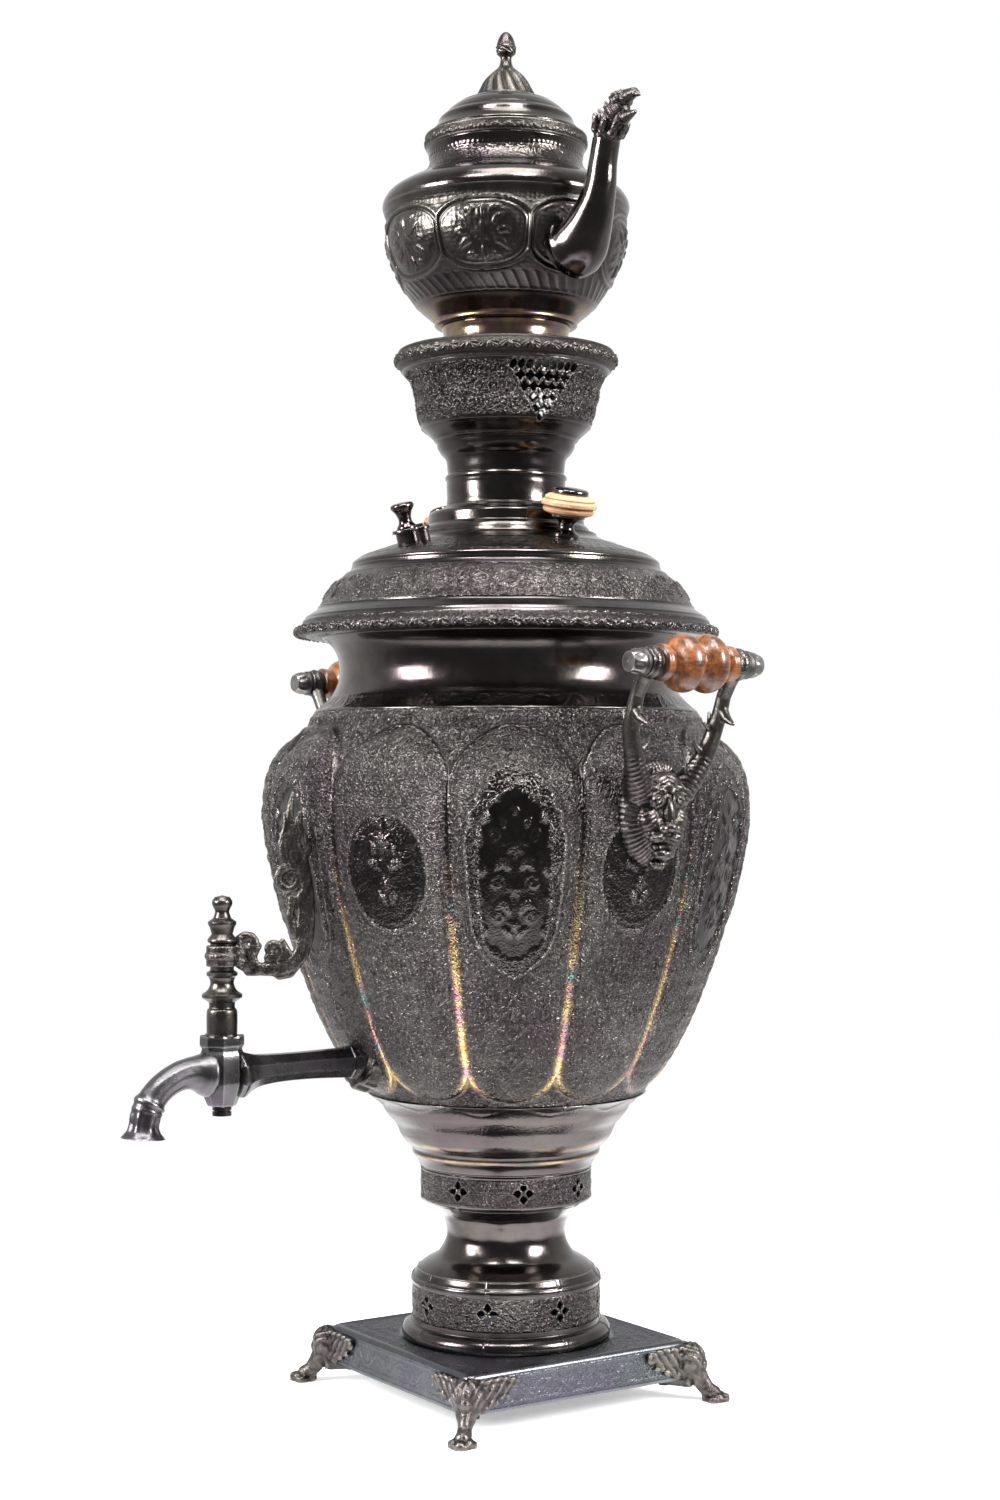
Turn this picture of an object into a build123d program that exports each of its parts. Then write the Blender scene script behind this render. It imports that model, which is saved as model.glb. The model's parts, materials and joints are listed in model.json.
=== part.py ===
from build123d import *
import math
import os

# Charcoal-fired samovar with a pierced crown and a teapot on top.
# Millimetres. Z is the axis of revolution, z = 0 is the floor under the four soles.
# The tap points to -Y, the two carrying handles to +X and -X, the teapot spout to +X.

# ---------------------------------------------------------------- driving dimensions
TOTAL_HEIGHT = 720.0          # floor to the tip of the finial
WALL = 1.8                    # sheet thickness of the body group
TEA_WALL = 1.4                # sheet thickness of the teapot

PLINTH_HALF = 69.0            # half side of the square plinth
PLINTH_Z0, PLINTH_Z1 = 11.0, 30.5
PLINTH_HOLE_R = 40.0
FRAME_INNER_HALF = 55.0
SOLE_U = 111.0                # distance of each sole from the axis, along the diagonal
SOLE_R = 7.0

TUBE_TOP = 474.0              # top of the fire tube, hidden in the chimney sleeve
TUBE_R = 27.5

LOBES = 12                    # lobes of the body, one centred on the tap
BODY_R = 129.6

KNOB_R = 54.0                 # distance of each lid knob from the axis
KNOB_LEAN = 13.0              # degrees outward
VENT_R = 60.0                 # distance of the steam vent from the axis
VENT_LEAN = 15.0

TAP_Z = 179.5                 # centre line of the tap pipe
TAP_R = 168.0                 # distance of the tap spindle from the axis
TAP_BORE_R = 3.6
NOZZLE_R = 210.0              # distance of the nozzle from the axis
PLUG_CLEAR = 0.04             # radial running clearance of the tap plug
LEVER_AZ = 25.0               # degrees that the scroll lever is turned from the pipe

GRIP_R = 160.0                # distance of each grip axis from the axis
GRIP_Z = 378.0
ROD_R = 2.5
GRIP_CLEAR = 0.04

SPOUT_AZ = 0.0
CROWN_MOTIFS = 3
CROWN_MOTIF_AZ = -11.0        # angle of the first pierced motif from +X

# ---------------------------------------------------------------- profiles, (r, z)
DRUM = [(54.0, 30.5), (55.0, 32.5), (54.6, 35.0), (53.0, 37.0), (50.6, 38.2), (49.6, 40.0), (49.6, 58.6),
        (50.4, 60.0), (50.0, 61.8), (48.4, 63.0), (46.9, 66.0)]
WAIST = [(46.9, 66.0), (42.4, 69.3), (36.8, 72.4), (34.2, 75.6), (32.6, 78.7), (31.5, 82.0), (31.3, 85.0),
         (31.8, 88.2), (32.6, 91.4), (33.8, 94.6), (38.1, 98.0), (42.6, 101.0)]
GALLERY = [(42.6, 101.0), (44.4, 102.2), (44.8, 104.0), (44.8, 118.0), (45.3, 120.0)]
CUP = [(45.3, 120.0), (46.9, 123.3), (49.3, 126.5), (49.8, 129.7), (53.2, 132.9), (55.6, 136.2), (56.9, 139.3),
       (58.5, 142.5), (61.4, 145.7), (64.0, 149.0), (65.8, 152.2), (68.8, 155.4), (73.8, 158.6)]
BODY = [(73.8, 158.6), (79.0, 165.0), (85.0, 173.4), (89.9, 181.0), (93.4, 187.4), (97.0, 194.0), (102.5, 206.5),
        (107.7, 219.2), (112.4, 231.6), (116.6, 244.6), (120.8, 257.2), (123.9, 269.9), (126.6, 282.5),
        (128.6, 295.1), (129.6, 308.0), (129.3, 316.0), (128.2, 323.0), (126.0, 329.7), (122.7, 336.0),
        (118.0, 341.0), (112.6, 346.0), (106.8, 351.4), (101.4, 358.0)]
NECK = [(101.4, 358.0), (97.2, 361.4), (93.8, 364.8), (91.2, 368.6), (89.2, 373.0), (88.2, 378.0), (88.3, 383.0),
        (89.4, 388.0), (92.4, 393.0), (97.5, 397.2)]
RING = [(110.4, 397.2), (112.2, 398.8), (112.4, 401.0), (110.8, 403.0), (107.7, 405.5), (104.3, 408.7),
        (100.4, 411.4), (99.0, 413.2), (98.0, 415.1), (96.4, 418.3), (94.3, 421.5), (92.0, 424.6), (88.3, 427.9),
        (84.5, 430.8), (82.2, 432.8), (81.6, 435.0)]
RING_INNER = [(76.3, 435.0), (76.3, 432.8), (80.4, 432.0), (83.6, 429.2), (87.4, 426.2), (90.7, 423.2), (93.0, 420.2),
              (94.9, 417.2), (96.4, 413.8), (97.6, 411.6), (99.4, 409.6), (103.0, 406.8), (106.2, 404.0),
              (108.2, 402.0), (108.4, 400.4), (106.0, 399.4), (100.0, 399.2), (94.9, 399.2), (94.9, 397.2)]
LID = [(81.2, 435.2), (81.4, 436.2), (80.4, 437.6), (74.9, 440.7), (65.6, 443.9), (58.0, 446.6), (50.5, 449.6),
       (48.6, 450.6), (47.8, 452.4), (44.6, 453.4), (43.6, 455.2), (41.6, 457.0), (41.1, 462.2), (39.4, 463.8),
       (34.0, 465.0), (32.4, 466.6)]
SLEEVE = [(32.4, 466.6), (31.5, 468.4), (31.5, 480.0), (32.2, 481.2), (32.2, 482.4), (31.6, 483.5)]
CROWN = [(30.6, 483.5), (31.0, 486.0), (31.8, 491.8), (34.4, 495.0), (36.3, 498.2), (37.1, 501.3), (40.3, 504.5),
         (43.7, 507.6), (45.4, 510.8), (47.1, 517.1), (48.2, 523.5), (49.0, 526.6), (49.8, 529.8), (50.8, 533.0),
         (53.0, 536.1), (55.4, 538.4)]
CROWN_RIM = [(55.4, 538.4), (58.2, 540.6), (59.4, 543.0), (59.3, 546.0), (58.2, 548.4), (56.4, 549.2)]
TEA_FOOT = [(33.9, 549.0), (34.1, 551.0), (33.2, 555.5), (33.2, 558.5), (34.2, 561.7)]
TEA_BOWL = [(34.2, 561.7), (38.4, 564.9), (42.1, 568.0), (45.8, 571.1), (48.5, 574.3), (50.8, 577.4), (53.0, 580.5),
            (55.1, 583.7), (56.9, 586.8), (58.3, 590.0), (59.6, 593.1), (60.9, 596.3), (62.1, 599.4), (63.2, 603.0),
            (63.9, 608.0), (64.0, 613.0), (63.7, 618.0), (64.6, 621.6), (65.5, 624.4)]
TEA_SHOULDER = [(65.5, 624.4), (65.5, 626.4), (64.8, 628.6), (63.0, 631.6), (59.8, 634.4), (54.0, 637.7),
                (48.4, 640.2), (45.0, 642.4), (42.4, 645.2), (41.1, 647.8), (40.6, 650.6), (41.1, 653.6), (42.2, 656.6)]
TEA_BAND = [(42.2, 656.6), (43.4, 658.2), (43.5, 661.6), (42.9, 663.4)]
TEA_LID = [(40.6, 663.5), (40.4, 665.2), (38.6, 666.8), (36.6, 669.4), (35.4, 672.4), (33.0, 674.4), (31.2, 676.4),
           (27.6, 679.4), (21.7, 682.6), (17.0, 684.0)]
FINIAL = [(17.0, 684.0), (15.6, 685.9), (13.8, 689.1), (12.2, 692.3), (10.0, 695.4), (6.8, 698.4), (4.4, 700.6),
          (3.4, 702.4), (2.9, 705.0), (3.2, 706.6), (4.9, 708.2), (5.1, 710.6), (4.8, 713.6), (3.6, 717.0),
          (1.8, 719.3), (0.0, TOTAL_HEIGHT)]
FIRE_TUBE = [(42.0, 122.0), (42.0, 160.0), (36.0, 200.0), (29.5, 240.0), (TUBE_R, 262.0), (TUBE_R, TUBE_TOP)]
SPINDLE = [(7.5, 197.4), (7.5, 208.6), (6.4, 211.0), (6.4, 213.6), (9.9, 216.0), (9.9, 217.6), (7.2, 219.6),
           (5.8, 222.8), (6.4, 225.6), (7.6, 226.8), (7.6, 228.2), (5.8, 229.4), (5.8, 242.4), (7.1, 243.2),
           (7.1, 244.4), (5.2, 247.0), (6.0, 250.0), (6.9, 251.8), (6.9, 253.2), (4.4, 254.8), (3.5, 257.8),
           (4.0, 259.6), (4.9, 261.4), (4.9, 263.2), (3.6, 265.2), (0.0, 266.0)]

nodes = {}


# ---------------------------------------------------------------- helpers
def turn(points):
    """Solid of revolution about Z of a closed (r, z) outline."""
    face = Plane.XZ * make_face(Polyline(*[(r, z) for r, z in points], close=True))
    return revolve(face, axis=Axis.Z)


def inside(points, t):
    """The same open profile moved inward by t, ends kept on their own level."""
    out = []
    n = len(points)
    normals = []
    for (r0, z0), (r1, z1) in zip(points, points[1:]):
        length = math.hypot(r1 - r0, z1 - z0)
        normals.append((-(z1 - z0) / length, (r1 - r0) / length))
    for i, (r, z) in enumerate(points):
        if 0 < i < n - 1:
            a, b = normals[i - 1], normals[i]
            k = 1.0 + a[0] * b[0] + a[1] * b[1]
            out.append((r + t * (a[0] + b[0]) / k, z + t * (a[1] + b[1]) / k))
        else:
            a = normals[0] if i == 0 else normals[-1]
            out.append((r - t / max(abs(a[0]), 0.5), z))
    return out


def shell(points, t):
    """Thin turned shell with flat ends under an outer profile."""
    return turn(list(points) + list(reversed(inside(points, t))))


def solid_under(points):
    """Full solid of revolution under an outer profile."""
    return turn([(0.0, points[0][1])] + list(points) + [(0.0, points[-1][1])])


def rod(r, z0, z1, x=0.0, y=0.0):
    return Pos(x, y, (z0 + z1) / 2) * Cylinder(r, z1 - z0)


def rod_x(r, x0, x1, y=0.0, z=0.0):
    return Pos((x0 + x1) / 2, y, z) * Rot(0, 90, 0) * Cylinder(r, x1 - x0)


def rod_y(r, y0, y1, x=0.0, z=0.0):
    return Pos(x, (y0 + y1) / 2, z) * Rot(90, 0, 0) * Cylinder(r, y1 - y0)


def disc_at(point, direction, r):
    """A round section at a point, square to a direction."""
    plane = Plane(origin=point, z_dir=direction)
    return plane * Circle(r)


def tapered(points, radii):
    """Ruled loft through round sections along a path in the XZ plane."""
    sections = []
    for i, p in enumerate(points):
        a = points[max(0, i - 1)]
        b = points[min(len(points) - 1, i + 1)]
        direction = (b[0] - a[0], b[1] - a[1], b[2] - a[2])
        sections.append(disc_at(p, direction, radii[i]))
    return loft(sections, ruled=True)


def quatrefoil_cuts(r_wall, z, count, first_deg, petal, reach):
    """Radial cutters, four petals each, evenly round the axis."""
    cutters = []
    for k in range(count):
        for dy, dz in ((reach, 0), (-reach, 0), (0, reach), (0, -reach)):
            c = rod_x(petal, r_wall - 6, r_wall + 6, dy, z + dz)
            cutters.append(Rot(0, 0, first_deg + 360.0 / count * k) * c)
    return cutters


def one(shape):
    """The shape as a single part, for a clean export."""
    solids = shape.solids()
    return solids[0] if len(solids) == 1 else Compound(children=list(solids))


# ---------------------------------------------------------------- plinth and feet
side = 2 * PLINTH_HALF
plinth_h = PLINTH_Z1 - PLINTH_Z0
plinth_block = Pos(0, 0, (PLINTH_Z0 + PLINTH_Z1) / 2) * Box(side, side, plinth_h)
plinth = plinth_block - Pos(0, 0, PLINTH_Z0 + (plinth_h - 2) / 2) * Box(side - 4, side - 4, plinth_h - 2)
plinth -= rod(PLINTH_HOLE_R, PLINTH_Z1 - 4, PLINTH_Z1 + 1)
nodes["base_plinth"] = plinth

frame_h = 2.0
frame = Pos(0, 0, PLINTH_Z0 + frame_h / 2) * Box(side - 4, side - 4, frame_h)
frame -= Pos(0, 0, PLINTH_Z0 + frame_h / 2) * Box(2 * FRAME_INNER_HALF, 2 * FRAME_INNER_HALF, frame_h + 2)
SCREW_U = 84.0
for a in (45, 135, 225, 315):
    frame -= Rot(0, 0, a) * rod(1.5, PLINTH_Z0 - 1, PLINTH_Z0 + frame_h + 1, SCREW_U)
nodes["plinth_frame"] = frame

wing_ring = Pos(0, 0, 20) * Box(side + 5, side + 5, 20) - Pos(0, 0, 20) * Box(side, side, 30)
wing_ring = Rot(0, 0, 45) * wing_ring
wing_mask = Pos(90, 0, 0) * extrude(
    Plane.YZ * make_face(Polyline((-21, 27), (-13, 29.5), (13, 29.5), (21, 27), (9, 10), (-9, 10), close=True)), 30, both=True)
wings = wing_ring & wing_mask
leg = tapered([(95.0, 0, 22.0), (99.0, 0, 15.5), (103.6, 0, 9.5), (106.4, 0, 5.6), (110.0, 0, 2.2)], [7.6, 6.6, 4.7, 4.6, 6.2])
knee = Pos(97.5, 0, 21.5) * Sphere(7.4)
foot = wings + leg + knee + rod(SOLE_R, 0, 2.4, SOLE_U)
tab = Pos((SCREW_U - 6 + 98) / 2, 0, PLINTH_Z0 - 1) * Box(98 - SCREW_U + 6, 11, 2.0)
foot = foot + tab - rod(1.5, 5, 15, SCREW_U)
foot -= Rot(0, 0, 45) * plinth_block
foot -= Pos(SCREW_U + 40, 0, -5) * Box(120, 60, 10)
for name, a in (("foot_front_right", -45), ("foot_front_left", -135), ("foot_back_left", 135), ("foot_back_right", 45)):
    nodes[name] = Rot(0, 0, a) * foot
screw = rod(3.0, PLINTH_Z0 - 3.8, PLINTH_Z0 - 2, SCREW_U) + rod(1.5, PLINTH_Z0 - 3, PLINTH_Z0 + 4.6, SCREW_U)
screw += rod(3.0, PLINTH_Z0 + frame_h, PLINTH_Z0 + 4.4, SCREW_U)
nodes["foot_screws"] = Compound(children=[(Rot(0, 0, a) * screw).solids()[0] for a in (-45, -135, 135, 45)])

# ---------------------------------------------------------------- pedestal
drum = shell(DRUM, 2.2)
for c in quatrefoil_cuts(49.6, 50.6, 8, 0.0, 1.7, 3.3):
    drum -= c
nodes["base_drum"] = drum
nodes["pedestal_waist"] = shell(WAIST, 2.0)
gallery = shell(GALLERY, 2.0)
for c in quatrefoil_cuts(44.8, 111.0, 8, 22.5, 1.7, 3.3):
    gallery -= c
nodes["air_gallery"] = gallery
nodes["body_cup"] = shell(CUP, WALL)

# ---------------------------------------------------------------- fire tube and grate
nodes["fire_tube"] = shell(FIRE_TUBE, 1.5)
floor_out = inside(CUP, WALL)
floor_r = floor_out[3][0] + (129.0 - floor_out[3][1]) * (floor_out[4][0] - floor_out[3][0]) / (floor_out[4][1] - floor_out[3][1])
nodes["reservoir_floor"] = turn([(42.0, 127.4), (47.0, 127.4), (47.0, 129.0), (42.0, 129.0)])
nodes["grate_ring"] = turn([(36.5, 122.0), (40.5, 122.0), (40.5, 124.0), (36.5, 124.0)])
grate = rod(40.3, 124.0, 127.5)
for i in range(-3, 4):
    half = math.sqrt(34.0 ** 2 - (i * 9.0) ** 2)
    grate -= Pos(i * 9.0, 0, 125.5) * Box(4.4, 2 * half, 8)
nodes["fire_grate"] = grate

# ---------------------------------------------------------------- body
body_shell = shell(BODY, WALL)
pipe_hole_r = 7.4
body_shell -= rod_y(pipe_hole_r, -110, -60, 0, TAP_Z)
nodes["body_shell"] = body_shell
nodes["neck_shell"] = shell(NECK, WALL)
nodes["lid_ring"] = turn(RING + RING_INNER)
body_envelope = solid_under(BODY)

# ---------------------------------------------------------------- body lid with its sleeve
lid_inner = inside(LID, 1.6)
lid_inner[-1] = (29.7, 466.6)
lid_outline = LID + list(reversed([p for p in lid_inner[3:]]))
lid_outline += [(75.7, lid_inner[3][1] - 0.2), (75.7, 428.5), (74.2, 428.5), (74.2, 435.2)]
lid_outline = LID + [(29.7, 466.6), (29.7, 464.0), (33.4, 463.2), (37.8, 462.0), (39.4, 460.6), (39.8, 456.4),
                     (42.0, 454.0), (43.4, 451.8), (46.0, 450.8), (47.0, 449.4), (50.0, 448.0), (57.4, 445.0),
                     (65.0, 442.2), (73.0, 439.4), (74.2, 438.6), (74.2, 428.5), (75.7, 428.5), (75.7, 435.2)]
lid_plate = turn(lid_outline)
lid_envelope = solid_under(LID)
vent_x, vent_y, vent_z = 0.0, -VENT_R, 446.0
vent_place = Pos(vent_x, vent_y, vent_z) * Rot(VENT_LEAN, 0, 0)
lid_plate -= vent_place * rod(3.4, -8, 8)
nodes["lid_plate"] = lid_plate
nodes["chimney_sleeve"] = turn(SLEEVE + [(29.7, 483.5), (29.7, 466.6)])

stem = turn([(0, -4), (7.0, -4), (7.0, 1.6), (5.0, 2.8), (4.0, 4.6), (4.2, 7.0), (6.2, 8.8), (9.0, 9.8), (9.0, 11.0), (0, 11.0)])
stem_pin = rod(2.2, 11.0, 21.4)
wood = turn([(2.2, 11.0), (10.2, 11.0), (12.6, 12.0), (13.2, 13.4), (12.9, 14.4), (14.3, 15.6), (14.3, 17.2), (13.2, 18.4),
             (12.6, 19.6), (11.0, 20.8), (8.4, 21.4), (2.2, 21.4)])
cap = turn([(0, 21.4), (9.0, 21.4), (9.3, 22.4), (9.0, 23.6), (7.4, 24.4), (3.0, 24.9), (0, 25.0)])
for side_name, sx in (("right", 1), ("left", -1)):
    place = Rot(0, 0, 0 if sx > 0 else 180) * Pos(KNOB_R, 0, 447.3) * Rot(0, KNOB_LEAN, 0)
    nodes[f"lid_knob_stem_{side_name}"] = place * (stem + stem_pin) - lid_envelope
    nodes[f"lid_knob_wood_{side_name}"] = place * wood
    nodes[f"lid_knob_cap_{side_name}"] = place * cap

# steam vent: collar on the lid, cover that swings about a rivet in a small post
VENT_POST_X = 13.5
collar = rod(6.4, -6, 4.6) - rod(3.4, -8, 8)
post = rod(3.4, -6, 4.6, VENT_POST_X) - rod(1.2, 0, 6, VENT_POST_X)
nodes["vent_collar"] = vent_place * (collar + post) - lid_envelope
cover_plate = rod(8.2, 4.7, 6.5) + rod(4.6, 4.7, 6.5, VENT_POST_X) + Pos(VENT_POST_X / 2, 0, 5.6) * Box(VENT_POST_X, 6.4, 1.8)
peg = turn([(0, 6.5), (5.2, 6.5), (5.0, 7.6), (3.6, 9.6), (3.4, 12.0), (4.4, 15.0), (6.0, 17.4), (6.1, 18.8), (4.6, 19.8), (0, 20.2)])
cover = cover_plate + peg - rod(1.2 + GRIP_CLEAR, 0, 10, VENT_POST_X)
nodes["vent_cover"] = vent_place * cover
rivet = rod(1.2, 0.4, 7.4, VENT_POST_X) + rod(2.9, 6.6, 8.0, VENT_POST_X)
nodes["vent_rivet"] = vent_place * rivet - lid_envelope

# ---------------------------------------------------------------- crown
crown_bowl = shell(CROWN, WALL)
motif = []
for row, (count, zc) in enumerate(((5, 533.6), (4, 528.6), (3, 523.6), (2, 518.6), (1, 513.8))):
    for j in range(count):
        motif.append((j - (count - 1) / 2, zc))
for k in range(CROWN_MOTIFS):
    for step, zc in motif:
        c = rod_x(1.7, 36, 62, 0, zc)
        crown_bowl -= Rot(0, 0, CROWN_MOTIF_AZ + 360.0 / CROWN_MOTIFS * k + step * 7.2) * c
nodes["crown_bowl"] = crown_bowl
rim_in = [(52.6, 549.2), (52.6, 540.4), (53.3, 538.4)]
nodes["crown_rim"] = turn(CROWN_RIM + rim_in)
nodes["crown_collar"] = turn([(27.9, 476.0), (29.3, 476.0), (29.3, 483.5), (30.4, 483.5), (30.4, 484.6), (27.9, 484.6)])
crown_in = inside(CROWN, WALL)
crown_bowl_cut = turn([(0, 483.0), (30.41, 483.0), (30.41, 484.61), (0, 484.61)])
nodes["crown_bowl"] = nodes["crown_bowl"] - crown_bowl_cut
rest = rod(52.6, 546.6, 549.0) - rod(18.0, 540, 555)
for k in range(8):
    rest -= Rot(0, 0, 22.5 + 45 * k) * rod(6.0, 540, 555, 43.5)
nodes["teapot_rest"] = rest

# ---------------------------------------------------------------- teapot
nodes["teapot_foot"] = shell(TEA_FOOT, 2.0)
bowl_in = inside(TEA_BOWL, TEA_WALL)
bowl_inner = [p for p in bowl_in[1:]]
bowl_outline = [(0.0, 561.7)] + TEA_BOWL + list(reversed(bowl_inner)) + [(34.6, 563.2), (0.0, 563.2)]
teapot_bowl = turn(bowl_outline)
bowl_envelope = turn([(0.0, 561.7)] + TEA_BOWL + [(0.0, 624.4)])
SPOUT_PATH = [(57.0, 0, 594.0), (67.0, 0, 596.0), (75.0, 0, 603.5), (81.4, 0, 613.0), (85.0, 0, 622.0), (87.0, 0, 632.0), (90.0, 0, 643.0)]
SPOUT_R = [16.0, 15.4, 12.2, 9.4, 8.0, 7.2, 7.0]
spout_outer = tapered(SPOUT_PATH, SPOUT_R)
spout_inner = tapered(SPOUT_PATH, [r - 1.6 for r in SPOUT_R])
nodes["teapot_spout"] = spout_outer - spout_inner - bowl_envelope
for dy, dz in ((0, 0), (0, 5), (0, -5), (4.6, 2.5), (-4.6, 2.5), (4.6, -2.5), (-4.6, -2.5)):
    teapot_bowl -= rod_x(1.4, 50, 72, dy, 595.0 + dz)
nodes["teapot_bowl"] = teapot_bowl
nodes["teapot_shoulder"] = shell(TEA_SHOULDER, TEA_WALL)
band_in = [(37.8, 663.4), (37.8, 660.0), (inside(TEA_SHOULDER, TEA_WALL)[-1][0], 656.6)]
nodes["teapot_rim_band"] = turn(TEA_BAND + band_in)
HEAD_PATH = [(90.0, 0, 643.0), (92.6, 0, 648.4), (97.0, 0, 653.6), (103.4, 0, 657.6)]
head_outer = tapered(HEAD_PATH, [7.0, 8.4, 7.8, 5.6])
beak_top = Pos(0, 4.2, 0) * extrude(Plane.XZ * make_face(Polyline(
    (97.0, 656.0), (105.0, 662.6), (113.0, 663.6), (118.4, 660.4), (113.0, 659.8), (106.0, 657.0), (100.0, 653.0), close=True)), 8.4)
beak_low = Pos(0, 4.2, 0) * extrude(Plane.XZ * make_face(Polyline(
    (98.0, 650.0), (106.0, 652.2), (114.6, 652.6), (112.6, 649.8), (106.0, 648.4), (99.0, 646.4), close=True)), 8.4)
head = head_outer + beak_top + beak_low - tapered(HEAD_PATH + [(112.0, 0, 662.0)], [5.4, 5.6, 4.6, 3.4, 3.4])
nodes["spout_head"] = head - spout_outer

def arc_bar(points, r):
    """Round bar along straight runs joined by tangent arcs, in the XZ plane."""
    radii = []
    for a, b, c in zip(points, points[1:], points[2:]):
        u = (b[0] - a[0], b[2] - a[2])
        v = (c[0] - b[0], c[2] - b[2])
        lu, lv = math.hypot(*u), math.hypot(*v)
        cosine = max(-1.0, min(1.0, (u[0] * v[0] + u[1] * v[1]) / lu / lv))
        radii.append(0.45 * min(lu, lv) / math.tan(math.acos(cosine) / 2))
    path = FilletPolyline(*points, radius=radii)
    d = (points[1][0] - points[0][0], points[1][1] - points[0][1], points[1][2] - points[0][2])
    return sweep(disc_at(points[0], d, r), path=path)


shoulder_envelope = turn([(0.0, 624.4)] + TEA_SHOULDER + [(0.0, 656.6)])
stub_top = tapered([(-52.0, 0, 633.0), (-66.0, 0, 638.5)], [6.2, 4.6]) - shoulder_envelope
stub_low = tapered([(-54.0, 0, 588.0), (-69.0, 0, 589.0)], [6.2, 4.6]) - bowl_envelope
nodes["teapot_handle_sockets"] = Compound(children=[stub_top.solids().sort_by(Axis.X)[0], stub_low.solids().sort_by(Axis.X)[0]])
ins_top = tapered([(-66.0, 0, 638.5), (-69.3, 0, 639.8)], [5.4, 5.4])
ins_low = tapered([(-69.0, 0, 589.0), (-72.5, 0, 589.25)], [5.4, 5.4])
teapot_handle = arc_bar([(-69.3, 0, 639.8), (-80.0, 0, 643.0), (-91.5, 0, 636.0), (-95.5, 0, 619.0), (-91.5, 0, 602.0), (-84.0, 0, 591.0), (-72.5, 0, 589.25)], 4.0)
ins_top = ins_top - stub_top
ins_low = ins_low - stub_low
nodes["handle_insulators"] = Compound(children=[ins_top.solids()[0], ins_low.solids()[0]])
nodes["teapot_handle"] = (teapot_handle - ins_top - ins_low).solids().sort_by(Axis.Z)[0]

tea_lid_in = [(13.0, 682.9), (21.0, 681.4), (27.0, 678.2), (30.4, 675.4), (32.2, 673.2), (34.4, 671.4), (35.5, 668.8), (36.0, 666.4), (36.0, 658.6), (37.2, 658.6), (37.2, 663.5)]
nodes["teapot_lid_dome"] = turn(TEA_LID + [(3.0, 684.0), (3.0, 682.9)] + tea_lid_in)
finial = turn([(0.0, 684.0)] + FINIAL) + rod(3.0, 679.0, 684.5)
nodes["lid_finial"] = finial
nodes["finial_nut"] = extrude(Plane.XY.offset(679.6) * RegularPolygon(6.0, 6), 3.3) - rod(3.0, 670, 690)

# ---------------------------------------------------------------- tap
pipe = Pos(0, -74, TAP_Z) * Rot(90, 0, 0) * extrude(RegularPolygon(7.0 / math.cos(math.pi / 8), 8, rotation=22.5), 90)
neck_part = rod_y(7.4, -92, -74, 0, TAP_Z)
barrel_sections = []
for z, flat in ((163.2, 6.4), (169.0, 8.6), (176.0, 10.2), (184.0, 10.2), (191.0, 9.6), (197.0, 10.0)):
    barrel_sections.append(Plane.XY.offset(z) * RegularPolygon(flat / math.cos(math.pi / 8), 8, rotation=22.5))
barrel = Pos(0, -TAP_R, 0) * loft(barrel_sections, ruled=True)
SPOUT_LINE = [(0, -TAP_R, 180.0), (0, -183.0, 180.6), (0, -194.0, 179.8), (0, -203.0, 176.4), (0, -208.2, 171.0), (0, -209.6, 165.0), (0, -NOZZLE_R, 158.0)]


def tapered_y(points, radii):
    """Ruled loft through round sections along a path in the YZ plane."""
    return tapered(points, radii)


tap_spout = tapered_y(SPOUT_LINE, [8.0, 8.0, 8.2, 8.8, 9.0, 9.4, 8.4])
hoof = loft([Plane.XY.offset(158.0) * Pos(0, -NOZZLE_R) * Circle(8.4), Plane.XY.offset(154.0) * Pos(0, -NOZZLE_R) * Circle(9.0),
             Plane.XY.offset(150.2) * Pos(0, -NOZZLE_R - 0.6) * Circle(11.4)], ruled=True)
tap_casting = pipe + barrel + tap_spout + hoof
tap_casting -= rod_y(7.39, -92, -60, 0, TAP_Z)
tap_casting = tap_casting + (neck_part & Pos(0, -83, TAP_Z) * Box(30, 18, 30))
tap_casting = tap_casting - rod_y(4.0, -TAP_R, -60, 0, TAP_Z)
bore_line = [(0, -TAP_R, TAP_Z)] + SPOUT_LINE[1:] + [(0, -NOZZLE_R, 148.0)]
tap_casting -= tapered_y(bore_line, [TAP_BORE_R] * len(bore_line))
plug_bore = turn([(0, 160.0), (4.9 + PLUG_CLEAR, 160.0), (6.3 + PLUG_CLEAR, 199.0), (0, 199.0)])
tap_casting -= Pos(0, -TAP_R, 0) * plug_bore
nodes["tap_body"] = tap_casting - (Pos(0, -70, 0) * Box(60, 8, 400))
wall_slope = math.degrees(math.atan2(89.9 - 79.0, 181.0 - 165.0))
flange = Pos(0, -87.0, TAP_Z) * Rot(90 - wall_slope, 0, 0) * Cylinder(14.0, 9.0)
flange -= body_envelope
flange -= rod_y(14.0, -130, -93.6, 0, TAP_Z)
pipe_outer = Pos(0, -74, TAP_Z) * Rot(90, 0, 0) * extrude(RegularPolygon(7.0 / math.cos(math.pi / 8), 8, rotation=22.5), 90)
flange = flange - pipe_outer - neck_part
nodes["tap_flange"] = flange.solids().sort_by(Axis.Y)[0]
inner_env = turn([(0.0, BODY[0][1])] + [p for p in inside(BODY, WALL)] + [(0.0, BODY[-1][1])])
nodes["tap_lock_nut"] = (Pos(0, -80.0, TAP_Z) * Rot(90, 0, 0) * extrude(RegularPolygon(12.0, 6), 5.0)) & inner_env
nodes["tap_lock_nut"] = nodes["tap_lock_nut"] - rod_y(7.4, -100, -60, 0, TAP_Z) - pipe_outer

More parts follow.
